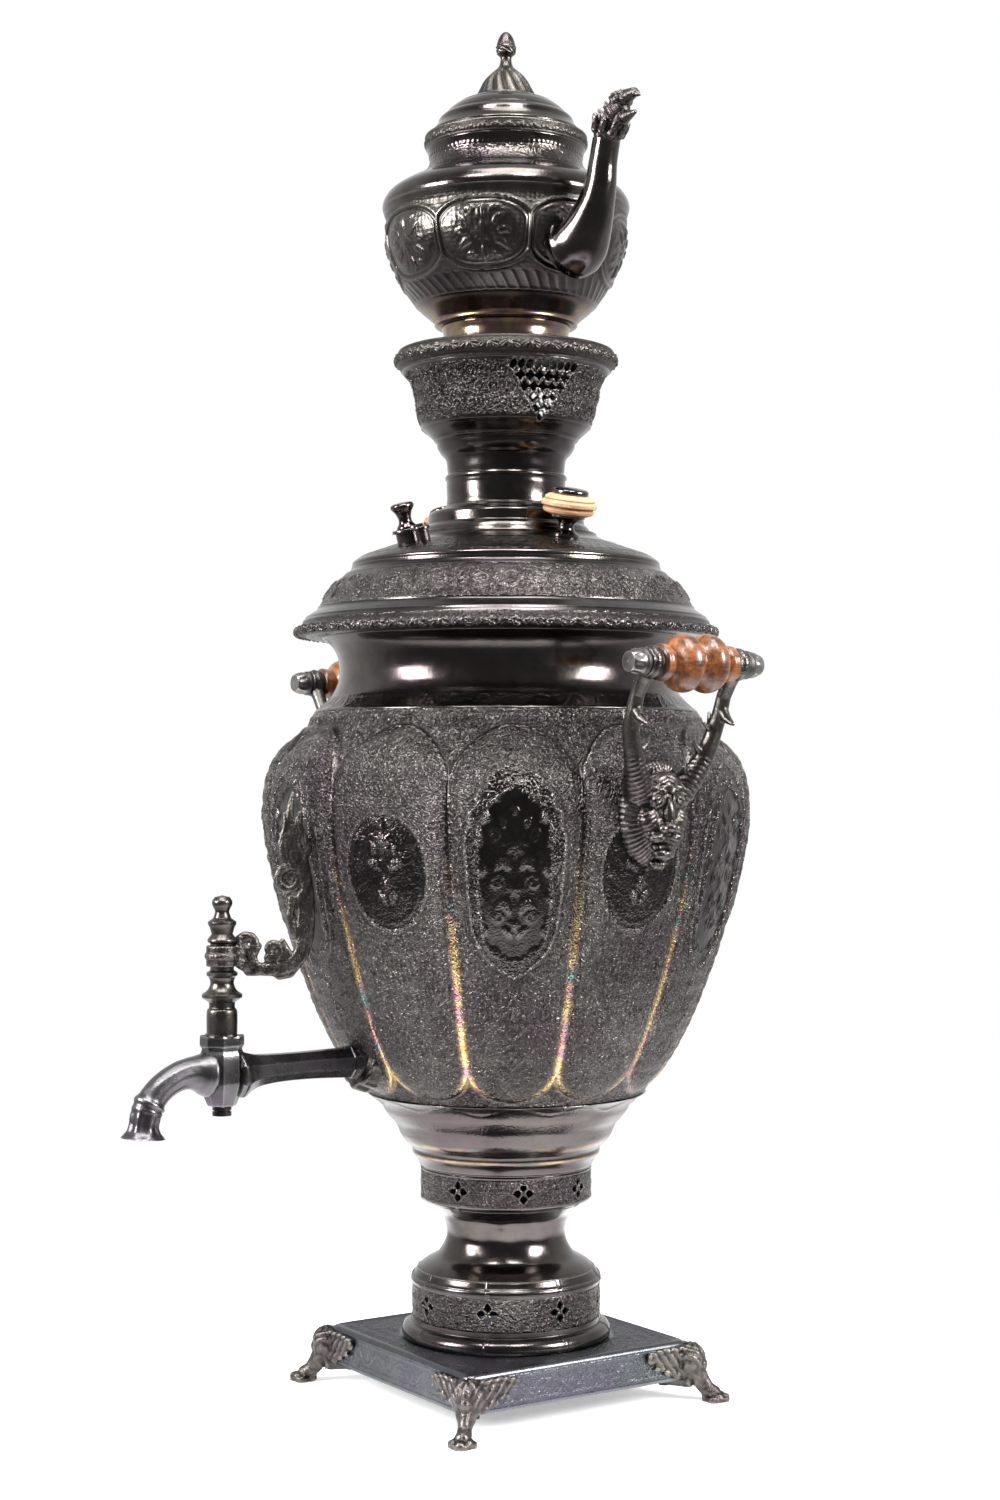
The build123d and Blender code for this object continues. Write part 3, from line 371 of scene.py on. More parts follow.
def wood(name, dark, mid_c, light, rough, coat, ring=900.0):
    mat = bpy.data.materials.new(name)
    mat.use_nodes = True
    nt = mat.node_tree
    bsdf = nt.nodes["Principled BSDF"]
    tc = nt.nodes.new("ShaderNodeTexCoord").outputs["Object"]
    mp = nt.nodes.new("ShaderNodeMapping")
    mp.inputs["Scale"].default_value = (1.0, 0.14, 1.0)
    nt.links.new(tc, mp.inputs["Vector"])
    grain = noise(nt, mp.outputs[0], ring, 6.0, 0.65, 0.6)
    broad = noise(nt, mp.outputs[0], 120.0, 3.0, 0.6, 1.5)
    f = math_node(nt, "ADD", math_node(nt, "MULTIPLY", grain, 0.45), math_node(nt, "MULTIPLY", broad, 0.6))
    tone = ramp(nt, f, [(0.38, dark), (0.52, mid_c), (0.66, light)])
    at = nt.nodes.new("ShaderNodeAttribute")
    at.attribute_name = "fx"
    sep = nt.nodes.new("ShaderNodeSeparateColor")
    nt.links.new(at.outputs["Color"], sep.inputs[0])
    tone = mix_col(nt, math_node(nt, "MULTIPLY", sep.outputs[1], 0.85), tone, tuple(v * 0.22 for v in dark))
    nt.links.new(tone, bsdf.inputs["Base Color"])
    b = nt.nodes.new("ShaderNodeBump")
    b.inputs["Strength"].default_value = 0.5
    b.inputs["Distance"].default_value = 0.0002
    nt.links.new(grain, b.inputs["Height"])
    nt.links.new(b.outputs[0], bsdf.inputs["Normal"])
    nt.links.new(math_node(nt, "ADD", math_node(nt, "MULTIPLY", broad, 0.2), rough - 0.1), bsdf.inputs["Roughness"])
    bsdf.inputs["Coat Weight"].default_value = coat
    bsdf.inputs["Coat Roughness"].default_value = 0.18
    return mat


M_BODY = silver("chased_silver", (0.040, 0.036, 0.034), (0.118, 0.108, 0.102), 0.19, chase=1.9, wear=0.45, dirt=0.6, cell=820.0)
M_PLINTH = silver("plinth_silver", (0.050, 0.056, 0.062), (0.120, 0.124, 0.130), 0.28, chase=0.8, wear=0.35, dirt=0.5, cell=1050.0)
M_CAP = silver("worn_cap_silver", (0.10, 0.095, 0.09), (0.30, 0.285, 0.27), 0.34, chase=0.3, wear=0.3, dirt=0.6)
M_POL = silver("polished_silver", (0.058, 0.052, 0.048), (0.135, 0.122, 0.112), 0.17, chase=0.5, wear=0.25, dirt=0.3)
M_CAST = silver("cast_silver", (0.040, 0.036, 0.033), (0.120, 0.110, 0.100), 0.30, chase=0.5, grain=0.25, wear=0.5, dirt=0.8, cell=900.0)
M_PUNCH = silver("punched_silver", (0.050, 0.046, 0.042), (0.140, 0.128, 0.118), 0.25, chase=1.1, wear=0.35, dirt=0.6, cell=430.0, punched=True)
M_STEEL = silver("tap_silver", (0.062, 0.060, 0.063), (0.150, 0.144, 0.146), 0.27, grain=0.1, wear=0.4)
M_PLAIN = silver("plain_silver", (0.050, 0.046, 0.042), (0.130, 0.120, 0.110), 0.28, grain=0.2, wear=0.0, dirt=0.0)
M_IRON = silver("sooty_iron", (0.02, 0.019, 0.018), (0.05, 0.045, 0.04), 0.6, grain=0.6, wear=0.2)
M_WOOD = wood("grip_wood", (0.055, 0.017, 0.007), (0.20, 0.066, 0.020), (0.36, 0.140, 0.045), 0.34, 0.4)
M_KNOB = wood("knob_wood", (0.30, 0.15, 0.075), (0.50, 0.28, 0.15), (0.66, 0.42, 0.25), 0.6, 0.0, 700.0)
M_BONE = wood("bone", (0.42, 0.34, 0.22), (0.62, 0.55, 0.41), (0.74, 0.68, 0.54), 0.4, 0.2, 500.0)

for mat_slot, mat in (("silver_chased", M_PLAIN), ("silver_polished", M_PLAIN), ("cast_silver", M_PLAIN), ("handle_wood", M_WOOD),
                      ("knob_wood", M_KNOB), ("iron", M_IRON), ("bone", M_BONE)):
    for part in frame["record"]["subparts"]:
        if part["material_slot"] == mat_slot:
            ob = frame["nodes"][part["node"]]
            ob.data.materials.clear()
            ob.data.materials.append(mat)


# ------------------------------------------------------------------ relief motifs, in mm on a flat (x, z) sheet
def rosette(x, z, cx, cz, size, petals, turn=0.0, sharp=0.7):
    dx, dz = x - cx, z - cz
    rho, th = np.hypot(dx, dz), np.arctan2(dz, dx) + turn
    edge = size * (0.74 + 0.26 * np.cos(petals * th))
    h = smooth(edge - rho, 0, sharp) * (0.55 + 0.45 * np.cos(np.clip(rho / size, 0, 1) * 3.0))
    boss = smooth(size * 0.26 - rho, 0, sharp)
    return np.maximum(h * 0.8, boss)


def leaf(x, z, cx, cz, length, width, ang):
    c, s = math.cos(math.radians(ang)), math.sin(math.radians(ang))
    u = (x - cx) * c + (z - cz) * s
    v = -(x - cx) * s + (z - cz) * c
    t = np.clip(u / length, 0, 1)
    w = width * np.sin(np.pi * t ** 0.75) * (u > 0) * (u < length)
    d = w - np.abs(v - 0.12 * length * np.sin(np.pi * t))
    return smooth(d, 0, 0.7) * (1 - 0.55 * bump_line(v - 0.12 * length * np.sin(np.pi * t), 0.45))


def spiral(x, z, cx, cz, r_out, turns, start, sense=1, w=0.62):
    dx, dz = x - cx, z - cz
    rho, th = np.hypot(dx, dz), np.arctan2(dz, dx) * sense
    pitch = r_out / turns
    k = (th - math.radians(start)) / (2 * np.pi)
    d = (rho / pitch - k + 0.5) % 1.0 - 0.5
    return bump_line(d * pitch, w) * smooth(r_out - rho, -0.2, 0.8)


def scatter(x, z, step, seed=0.0):
    """Scrolling leaf ground: alternating spirals, leaves and small flowers on a brick lattice."""
    row = np.floor(z / step)
    shift = (row % 2) * step * 0.5
    col = np.floor((x + shift) / step)
    lx = (x + shift) - (col + 0.5) * step
    lz = z - (row + 0.5) * step
    flip = np.where((col + row) % 2 == 0, 1.0, -1.0)
    lx = lx * flip
    h = spiral(lx, lz, 0, 0, step * 0.46, 1.6, 40 + seed, 1, 0.5) * 0.8
    h = np.maximum(h, rosette(lx, lz, 0, 0, step * 0.2, 5))
    for a in (60, 180, 300):
        h = np.maximum(h, leaf(lx, lz, step * 0.28 * math.cos(math.radians(a)), step * 0.28 * math.sin(math.radians(a)), step * 0.34, step * 0.1, a + 50))
    return h


# ------------------------------------------------------------------ body
def body_relief(A, S, Z, R):
    A = A + 2.0
    lobe = np.floor((A + 15.0) / 30.0) % 12
    u = ((A + 15.0) % 30.0 - 15.0) / 15.0
    w = np.radians(15.0) * R
    x = u * w
    top_c, top_h, low_c, low_h = 322.0, 29.0, 176.0, 15.0
    side = w - np.abs(x)
    rt = np.hypot(x / w, (Z - top_c) / top_h)
    rl = np.hypot(x / w, (Z - low_c) / low_h)
    d = np.where(Z > top_c, (1 - rt) * top_h, np.where(Z < low_c, (1 - rl) * low_h, side))
    depth = np.interp(Z, [158, 170, 200, 260, 320, 335, 346, 353, 357.5], [0.8, 2.4, 3.2, 4.4, 5.0, 4.4, 3.0, 1.2, 0.0])
    width = np.interp(Z, [158, 200, 300, 330], [5.0, 7.5, 11.5, 10.0])
    t = np.clip(d / width, 0, 1)
    H = -depth * (1 - np.sqrt(1 - (1 - t) ** 2)) - np.interp(Z, [158, 180, 215, 255, 335, 350, 357], [0.0, 0.3, 0.9, 1.4, 1.4, 0.8, 0.2])
    # the rolled seam line that follows each lobe
    rib = bump_line(d - 0.3, 0.9) * smooth(Z, 161, 172) * smooth(356 - Z, 0, 6)
    H = H + 1.25 * rib
    line2 = bump_line(d - 3.6, 0.55) * smooth(Z, 200, 230)
    H = H - 0.35 * line2
    ground = np.ones_like(A)
    even = (lobe % 2) == 0
    # arched panel on every second lobe
    hw = np.interp(Z, [226, 229, 233, 240, 250, 262, 280, 292, 298, 301, 304, 308, 311, 314, 318, 321, 324, 327, 330, 332],
                   [0, 6, 11, 17, 20.6, 22.2, 24, 24.8, 24.2, 21.8, 23.2, 22.2, 18.4, 19.4, 17.4, 13.2, 13.6, 8.8, 4.2, 0], left=-9.0, right=-9.0)
    hi = np.interp(Z, [235, 238, 246, 262, 290, 301, 305, 308, 313, 317, 320], [0, 11.0, 15.4, 17.2, 18.2, 17.0, 13.6, 14.4, 10.6, 4.6, 0], left=-9.0, right=-9.0)
    e = np.where(even, hw - np.abs(x), -9)
    e2 = np.where(even, hi - np.abs(x), -9)
    inside_a = smooth(e, 0, 1.6)
    inner_a = smooth(e2, 0, 1.2)
    H = H + even * (1.15 * bump_line(e, 1.05) + 0.35 * inside_a + 0.55 * bump_line(e2, 0.7) - 0.35 * inner_a)
    fl = np.maximum.reduce([rosette(x, Z, 0, 292, 8.6, 8), rosette(x, Z, 0, 270, 6.0, 6), rosette(x, Z, 0, 308, 4.4, 6), rosette(x, Z, 0, 252, 4.6, 5)])
    for sx in (1, -1):
        for (cx, cz, ln, wd, an) in ((2, 279, 11, 2.2, 40), (2, 264, 10, 2.2, -30), (2, 258, 9, 2.0, 40), (1, 246, 8, 1.8, 40), (5, 299, 8, 1.8, 60), (3, 284, 10, 1.7, -40),
                                     (17.5, 262, 9, 2.2, 78), (17.0, 276, 9, 2.2, 96), (18.0, 290, 8, 2.2, 84), (15.0, 302, 7, 2.0, 110), (14.5, 246, 9, 2.2, 66), (7, 236, 8, 2.0, 40), (10.5, 312, 6, 1.7, 130), (5.5, 321, 5, 1.4, 150)):
            fl = np.maximum(fl, leaf(x * sx, Z, cx, cz, ln, wd, an))
        for cx, cz, r_, a0 in ((8.6, 273.0, 4.4, 30), (8.0, 257.0, 3.6, 200), (10.0, 297.0, 3.4, 120), (19.0, 270.0, 3.0, 0), (19.8, 284.0, 3.0, 90), (17.0, 254.0, 3.0, 180), (18.6, 297.0, 2.8, 40)):
            fl = np.maximum(fl, 0.8 * spiral(x * sx, Z, cx, cz, r_, 1.5, a0))
    fl = np.maximum(fl, np.maximum(rosette(x, Z, 0, 217, 6.4, 6), leaf(x, Z, 0, 211, 8, 2.0, -90)) * (Z < 226))
    H = H + even * np.maximum(inside_a, Z < 225) * 0.85 * fl
    # drop-shaped panel with a fan of dotted lines on the others
    zc = (Z - 280.0) / np.where(Z > 280, 27.0, 32.0)
    rad = np.hypot(x / 22.5, zc)
    eo = np.where(even, -9, (1 - rad) * 22.0)
    inside_o = smooth(eo, 0, 1.4)
    H = H + (~even) * (0.7 * bump_line(eo, 0.9) + 0.3 * bump_line(eo - 3.0, 0.6) + 0.3 * inside_o)
    fo = np.maximum.reduce([rosette(x, Z, 0, 292, 7.6, 7), rosette(x, Z, 0, 272, 5.0, 6), leaf(x, Z, 0, 298, 13, 2.6, 90)])
    for sx in (1, -1):
        for (cx, cz, ln, wd, an) in ((2, 279, 10, 2.0, 20), (2, 300, 9, 1.8, 35), (1, 262, 9, 1.8, 50), (6, 286, 7, 1.5, 80)):
            fo = np.maximum(fo, leaf(x * sx, Z, cx, cz, ln, wd, an))
    H = H + (~even) * inside_o * 0.75 * fo
    fan = np.zeros_like(A)
    for k in (-3, -2, -1, 0, 1, 2, 3):
        dz = 252.0 - Z
        line = np.abs(x - k * (1.6 + dz * 0.055))
        dots = 0.5 + 0.5 * np.cos(Z * 2 * np.pi / 3.0 + k)
        fan = np.maximum(fan, bump_line(line, 0.6) * dots * smooth(dz, 0, 4) * smooth(38.0 - dz - abs(k) * 3, 0, 4))
    H = H + (~even) * 0.55 * fan
    # scrolling ground, lozenges lower down
    gx = x * 1.0
    field = scatter(gx, Z + lobe * 3.1, 8.4)
    open_ground = (1 - inside_a) * (1 - inside_o) * smooth(d, 1.5, 3.0) * smooth(Z, 196, 206)
    H = H + 0.5 * field * open_ground
    lz = smooth(212 - Z, -6, 6) * smooth(d, 1.0, 2.5) * smooth(Z, 163, 170)
    for cz, s in ((203.0, 8.5), (186.0, 7.0)):
        loz = s - np.abs(x) * 0.9 - np.abs(Z - cz)
        H = H + lz * (0.5 * bump_line(loz, 0.7) + 0.5 * rosette(x, Z, 0, cz, s * 0.55, 4, math.pi / 4) * (loz > 0))
    H = H + lz * 0.3 * scatter(x, Z, 6.0)
    # zigzag border below the seam and rosettes on the shoulder
    shoulder = smooth(-d, 0.5, 3.0) * smooth(Z, 300, 320)
    H = H + 1.0 * shoulder * scatter(np.radians(A) * 112.0, Z, 9.0) * smooth(356 - Z, 0, 3)
    H = H + 0.6 * bump_line(Z - 355.2, 0.8)
    chased = ground * (1 - 0.84 * np.maximum(inner_a, inside_o) * (1 - 0.4 * np.clip(fl * even + fo * (~even), 0, 1))) * (1 - 0.6 * inside_a)
    chased = chased * (1 - bump_line(d, 1.6) * 0.9)
    rnd = 0.5 + 0.5 * np.sin(A * 0.37 + Z * 0.021) * np.sin(A * 0.11 + 2.0)
    tarnish_hue_and_painted_reflection = bump_line(d - 0.6, 1.5) * smooth(300 - Z, 0, 90) * smooth(Z, 160, 172) * (0.45 + 0.55 * rnd)
    # the small term inside the panels darkens their flat ground: painted shade standing for the dark reflection in the
    # recessed polished panels; the other terms darken the lobe grooves and the foot of the arch rims
    cav = bump_line(d + 0.9, 1.3) * 0.7 * smooth(Z, 160, 170) + 0.05 * np.maximum(inner_a, inside_o) * (1 - np.clip(fl * even + fo * (~even), 0, 1)) + 0.3 * bump_line(e + 1.2, 0.8) * even
    return H, (chased, np.clip(cav, 0, 1), np.clip(tarnish_hue_and_painted_reflection, 0, 1))


lathe("body_vessel", BODY, 190, 960, inner=inward(BODY, 8.6), n_inner=24, relief=body_relief, body="stand", material=M_BODY,
      replaces=("body_shell",), slot="silver_chased", sharp=None)


def neck_relief(A, S, Z, R):
    border = smooth(366.5 - Z, 0, 1.5) * smooth(Z, 358.6, 359.4)
    p = (A * 40.0 / 360.0) % 1.0 - 0.5
    arch = 363.0 + 3.4 * np.cos(p * 2 * np.pi) - Z
    H = border * 0.22 * bump_line(arch, 0.7) + 0.35 * bump_line(Z - 359.0, 0.7) + 0.2 * border * rosette(p * 14.0, Z, 0, 362.0, 2.1, 5)
    return H, (border * 0.35, 0 * A, 0 * A)


lathe("neck_band", NECK, 60, 720, inner=inward(NECK, 1.8), n_inner=10, relief=neck_relief, body="stand", material=M_POL,
      replaces=("neck_shell",), slot="silver_polished", sharp=None)


def ring_relief(A, S, Z, R):
    x = np.radians(A) * 97.0
    band = smooth(Z, 412.6, 413.6) * smooth(430.4 - Z, 0, 1.0)
    p = ((A + 3) % 30.0 - 15.0) / 15.0
    xl = p * 26.0
    zz = (Z - 413.5) * 1.35
    motif = np.maximum.reduce([rosette(xl, zz, 0, 11.5, 6.4, 8), rosette(xl, zz, 19.5, 11.5, 3.4, 6), rosette(xl, zz, -19.5, 11.5, 3.4, 6)])
    for s in (1, -1):
        for (cx, cz, ln, wd, an) in ((6, 12, 11, 2.2, 30), (6, 11, 11, 2.2, -30), (14, 16, 7, 1.6, 170), (14, 7, 7, 1.6, 190), (21, 15, 6, 1.5, 40), (21, 8, 6, 1.5, -40)):
            motif = np.maximum(motif, leaf(xl * s, zz, cx, cz, ln, wd, an))
        motif = np.maximum(motif, 0.8 * spiral(xl * s, zz, 12.0, 11.5, 5.0, 1.7, 0))
    H = 0.65 * band * motif
    H = H + 0.4 * bump_line(Z - 413.0, 0.6) + 0.4 * bump_line(Z - 430.6, 0.6)
    # leaf cast into the outer rim
    mid = S[np.argmax(R[:, 0] > 112.1), 0] + 1.2
    rim = smooth(R, 105.0, 106.4) * smooth(405.8 - Z, 0, 0.8)
    q = (A * 60 / 360.0) % 1.0 - 0.5
    xr, zr = q * 11.2, (S - mid) * 0.86
    lf = np.maximum.reduce([rosette(xr, zr, 0, 0, 4.4, 6), leaf(xr, zr, -5.6, -3, 6.4, 1.7, 38), leaf(xr, zr, 5.6, -3, 6.4, 1.7, 142), leaf(xr, zr, 1, 2.5, 5.2, 1.4, -38), leaf(xr, zr, -1, 2.5, 5.2, 1.4, 218)])
    H = H + rim * (1.15 * lf - 0.9)
    H = H + 0.4 * bump_line(Z - 407.6, 0.55)
    return H, (band * (1 - 0.6 * motif) + rim * 0.4, rim * (1 - lf) * 0.6, 0 * A)


lathe("lid_carrier", RING, 150, 900, inner=RING_INNER, n_inner=30, relief=ring_relief, body="stand", material=M_BODY,
      replaces=("lid_ring",), slot="silver_chased", sharp=50.0)


def cup_relief(A, S, Z, R):
    H = 0 * A
    scal = 155.8 + 1.8 * np.cos(np.radians(A * 12.0))
    H = H + 0.5 * bump_line(Z - scal, 0.7)
    tarnish_hue_and_painted_reflection = bump_line(Z - 133.5, 1.2) * 0.55 + bump_line(Z - 127.0, 1.0) * 0.5
    rnd = 0.5 + 0.5 * np.sin(A * 0.12) * np.sin(A * 0.05 + Z)
    return H, (smooth(Z, 134, 137) * 0.25, 0.5 * bump_line(Z - 131.3, 0.8) + 0.4 * bump_line(Z - 124.0, 0.8), np.clip(tarnish_hue_and_painted_reflection * rnd, 0, 1))


lathe("cup_moulding", CUP, 70, 480, inner=inward(CUP, 1.8), n_inner=12, relief=cup_relief, body="stand", material=M_POL,
      replaces=("body_cup",), slot="silver_polished", sharp=None)


# ------------------------------------------------------------------ pierced turned pieces
def pierced(name, outer, n_outer, nu, hole, thick, relief, body, material, replaces, slot, az_shift=0.0):
    """One turned skin with real holes, then walled. hole(az, z, r) is positive inside a hole, in mm."""
    o = resample(outer, n_outer)
    t = np.gradient(o, axis=0)
    t /= np.linalg.norm(t, axis=1, keepdims=True)
    normal = np.c_[t[:, 1], -t[:, 0]]
    az = np.arange(nu) / nu * 360.0
    s = np.r_[0, np.cumsum(np.linalg.norm(np.diff(o, axis=0), axis=1))]
    A, S = np.meshgrid(az, s)
    du, dv = 360.0 / nu, s[1] - s[0]

    def at(S_):
        return np.interp(S_, s, o[:, 0]), np.interp(S_, s, o[:, 1])

    # draw the grid points near an edge of a hole onto that edge
    for _ in range(3):
        R_, Z_ = at(S)
        f = hole(A, Z_, R_)
        fu = (hole(A + 0.05, Z_, R_) - hole(A - 0.05, Z_, R_)) / 0.1
        R2, Z2 = at(S + 0.05)
        R1, Z1 = at(S - 0.05)
        fv = (hole(A, Z2, R2) - hole(A, Z1, R1)) / 0.1
        per = np.radians(1) * R_
        g = (fu / per) ** 2 + fv ** 2 + 1e-6
        su, sv = -f * fu / per ** 2 / g, -f * fv / g
        near = np.abs(f) < 0.55 * max(dv, du * per.mean())
        A = A + np.where(near, np.clip(su, -du * 0.5, du * 0.5), 0)
        S = np.clip(S + np.where(near, np.clip(sv, -dv * 0.5, dv * 0.5), 0), 0, s[-1])
    R_, Z_ = at(S)
    f = hole(A, Z_, R_)
    H, fxs = relief(A, S, Z_, R_)
    H = H * smooth(-f, 0, 0.6) + 0.3 * bump_line(f + 0.5, 0.5) * (f < 0)
    nr, nz = np.interp(S, s, normal[:, 0]), np.interp(S, s, normal[:, 1])
    R, Z = R_ + H * nr, Z_ + H * nz
    a = np.radians(A)
    V = np.stack([R * np.sin(a), -R * np.cos(a), Z], -1)
    fx = np.zeros((*A.shape, 4))
    fx[..., :3] = np.stack([np.broadcast_to(c, A.shape) for c in fxs], -1)
    faces = grid_faces(len(V), nu)
    fc = f.ravel()[faces].mean(1)
    ob = put(name, V, faces[fc < 0], fx, body=body, material=material, replaces=replaces, slot=slot, sharp=None)
    mod = ob.modifiers.new("wall", "SOLIDIFY")
    mod.thickness = thick * MM
    mod.offset = -1.0
    return ob


def quatrefoil(az, z, r, count, first, zc, size=6.0):
    p = ((az - first + 180.0 / count) % (360.0 / count)) - 180.0 / count
    x, y = np.radians(p) * r, z - zc
    c, s = np.abs(x), np.abs(y)
    long_, short = np.maximum(c, s), np.minimum(c, s)
    tt = (long_ - 1.1) / (size - 1.1)
    w = 1.85 * np.sin(np.pi * np.clip(tt, 0, 1) ** 0.8) * (tt > 0)
    return w - short


def drum_relief(A, S, Z, R):
    wall = smooth(Z, 41.0, 42.0) * smooth(58.2 - Z, 0, 1.0)
    bead = 0.25 * bump_line(Z - 59.4, 0.5)
    H = wall * 0.3 * scatter(np.radians(A) * 49.6, Z, 6.2) + bead
    return H, (wall, 0.5 * bump_line(Z - 40.2, 0.8) + 0.3 * bump_line(Z - 58.8, 0.6), 0 * A)


pierced("drum_band", DRUM, 90, 720, lambda a, z, r: quatrefoil(a, z, r, 8, 0.0, 50.4), 2.2, drum_relief, "stand", M_BODY,
        ("base_drum",), "silver_chased")


def gallery_relief(A, S, Z, R):
    wall = smooth(Z, 103.5, 104.5) * smooth(118.0 - Z, 0, 1.0)
    H = wall * 0.25 * scatter(np.radians(A) * 44.8, Z, 5.6) + 0.4 * bump_line(Z - 118.6, 0.7) + 0.4 * bump_line(Z - 103.4, 0.7)
    return H, (wall, 0 * A, 0 * A)


pierced("gallery_band", GALLERY, 60, 720, lambda a, z, r: quatrefoil(a, z, r, 8, 22.5, 111.0, 5.6), 2.0, gallery_relief, "stand", M_BODY,
        ("air_gallery",), "silver_chased")


def waist_relief(A, S, Z, R):
    return 0.25 * np.sin(A * 0.21 + Z * 0.3) * 0.3 * smooth(Z, 70, 74), (0 * A + 0.0, 0.5 * bump_line(Z - 66.4, 0.7), 0 * A)


lathe("waist_turning", WAIST, 60, 480, inner=inward(WAIST, 2.0), n_inner=12, relief=waist_relief, body="stand", material=M_POL,
      replaces=("pedestal_waist",), slot="silver_polished", sharp=None)


# crown with three pierced lace triangles
def lace(az, z, r):
    p = ((az - 79.0 + 60.0) % 120.0) - 60.0
    x = np.radians(p) * r
    best = np.full(np.broadcast(x, z).shape, -9.0)
    zt = 534.6
    for k in range(-4, 5):
        cx = k * 4.3
        best = np.maximum(best, 1.75 - np.hypot(x - cx, (z - zt) * 0.85))
    for row, (zc, n) in enumerate(((529.4, 6), (524.0, 5), (518.6, 3), (513.6, 2))):
        for j in range(n):
            cx = (j - (n - 1) / 2) * 5.0
            petal = 0.55 + 0.45 * np.abs(np.cos(2.0 * np.arctan2(z - zc, x - cx)))
            best = np.maximum(best, 2.5 * petal - np.hypot(x - cx, z - zc))
    best = np.maximum(best, 1.5 - np.hypot(x, (z - 509.6) * 0.7))
    return best


def crown_relief(A, S, Z, R):
    wall = smooth(Z, 509.5, 511.5) * smooth(537.4 - Z, 0, 1.2)
    p = ((A - 79.0 + 60.0) % 120.0) - 60.0
    x = np.radians(p) * R
    tri = smooth(20.0 - np.abs(x) - (537 - Z) * 0.62, -1, 1)
    q = ((A - 19.0 + 60.0) % 120.0 - 60.0)
    xq = np.radians(q) * R
    med = np.maximum.reduce([rosette(xq, Z, 0, 524, 7.4, 8), leaf(xq, Z, 7, 524, 12, 2.6, 25), leaf(xq, Z, 7, 524, 12, 2.6, -25), leaf(-xq, Z, 7, 524, 12, 2.6, 25), leaf(-xq, Z, 7, 524, 12, 2.6, -25)])
    H = wall * (1 - tri) * (0.75 * scatter(np.radians(A) * 47.0, Z, 8.0) + 0.7 * med)
    H = H + 0.45 * bump_line(20.0 - np.abs(x) - (537 - Z) * 0.62, 0.6) * wall
    low = smooth(Z, 484.6, 485.4) * smooth(500.0 - Z, 0, 1.0)
    H = H + 0.5 * bump_line(Z - 502.0, 0.8) + 0.5 * bump_line(Z - 509.0, 0.7)
    return H, (wall * (1 - 0.5 * tri), 0.4 * bump_line(Z - 503.4, 0.8), 0 * A)


pierced("crown_body", CROWN, 110, 900, lace, 1.8, crown_relief, "crown", M_BODY, ("crown_bowl",), "silver_chased")


def rim_relief(A, S, Z, R):
    q = (A * 34 / 360.0) % 1.0 - 0.5
    L = S.max()
    xr, zr = q * 10.8, (S - L * 0.52)
    lf = np.maximum.reduce([rosette(xr, zr, 0, 0, 3.6, 6), leaf(xr, zr, -5.4, -2, 5.2, 1.5, 35), leaf(xr, zr, 5.4, -2, 5.2, 1.5, 145), leaf(xr, zr, 0.8, 2, 4.8, 1.3, -20), leaf(xr, zr, -0.8, 2, 4.8, 1.3, 200)])
    fade = smooth(S, 0.5, 1.5) * smooth(L - S, 0.5, 1.5)
    return fade * (1.1 * lf - 0.9), (0.5 + 0 * A, (1 - lf) * 0.55, 0 * A)


lathe("crown_leaf_rim", CROWN_RIM, 40, 900, inner=[(52.6, 549.2), (52.6, 540.4), (53.3, 538.4)], n_inner=8, relief=rim_relief,
      body="crown", material=M_CAST, replaces=("crown_rim",), slot="cast_silver", sharp=None)


# ------------------------------------------------------------------ lid of the body and its sleeve
def lid_relief(A, S, Z, R):
    band = smooth(R, 60.0, 61.0) * smooth(80.0 - R, 0, 1.0)
    return 0.25 * band * scatter(np.radians(A) * 70, R, 6.0) + 0.35 * bump_line(R - 59.0, 0.6), (band * 0.7, 0.6 * bump_line(Z - 435.6, 0.6), 0 * A)


lathe("lid_dish", LID, 110, 600, inner=LID_INNER, n_inner=50, relief=lid_relief, body="lid", material=M_POL,
      replaces=("lid_plate",), slot="silver_polished", sharp=45.0)
lathe("sleeve_turning", SLEEVE, 40, 360, inner=[(29.7, 483.5), (29.7, 466.6)], n_inner=4, body="lid", material=M_POL,
      relief=lambda A, S, Z, R: (0.12 * np.sin(np.radians(A) * 3 + Z * 0.4) * smooth(Z, 468, 470) * smooth(479 - Z, 0, 1), (0 * A, 0.5 * bump_line(Z - 467.2, 0.7), 0 * A)),
      replaces=("chimney_sleeve",), slot="silver_polished", sharp=None)

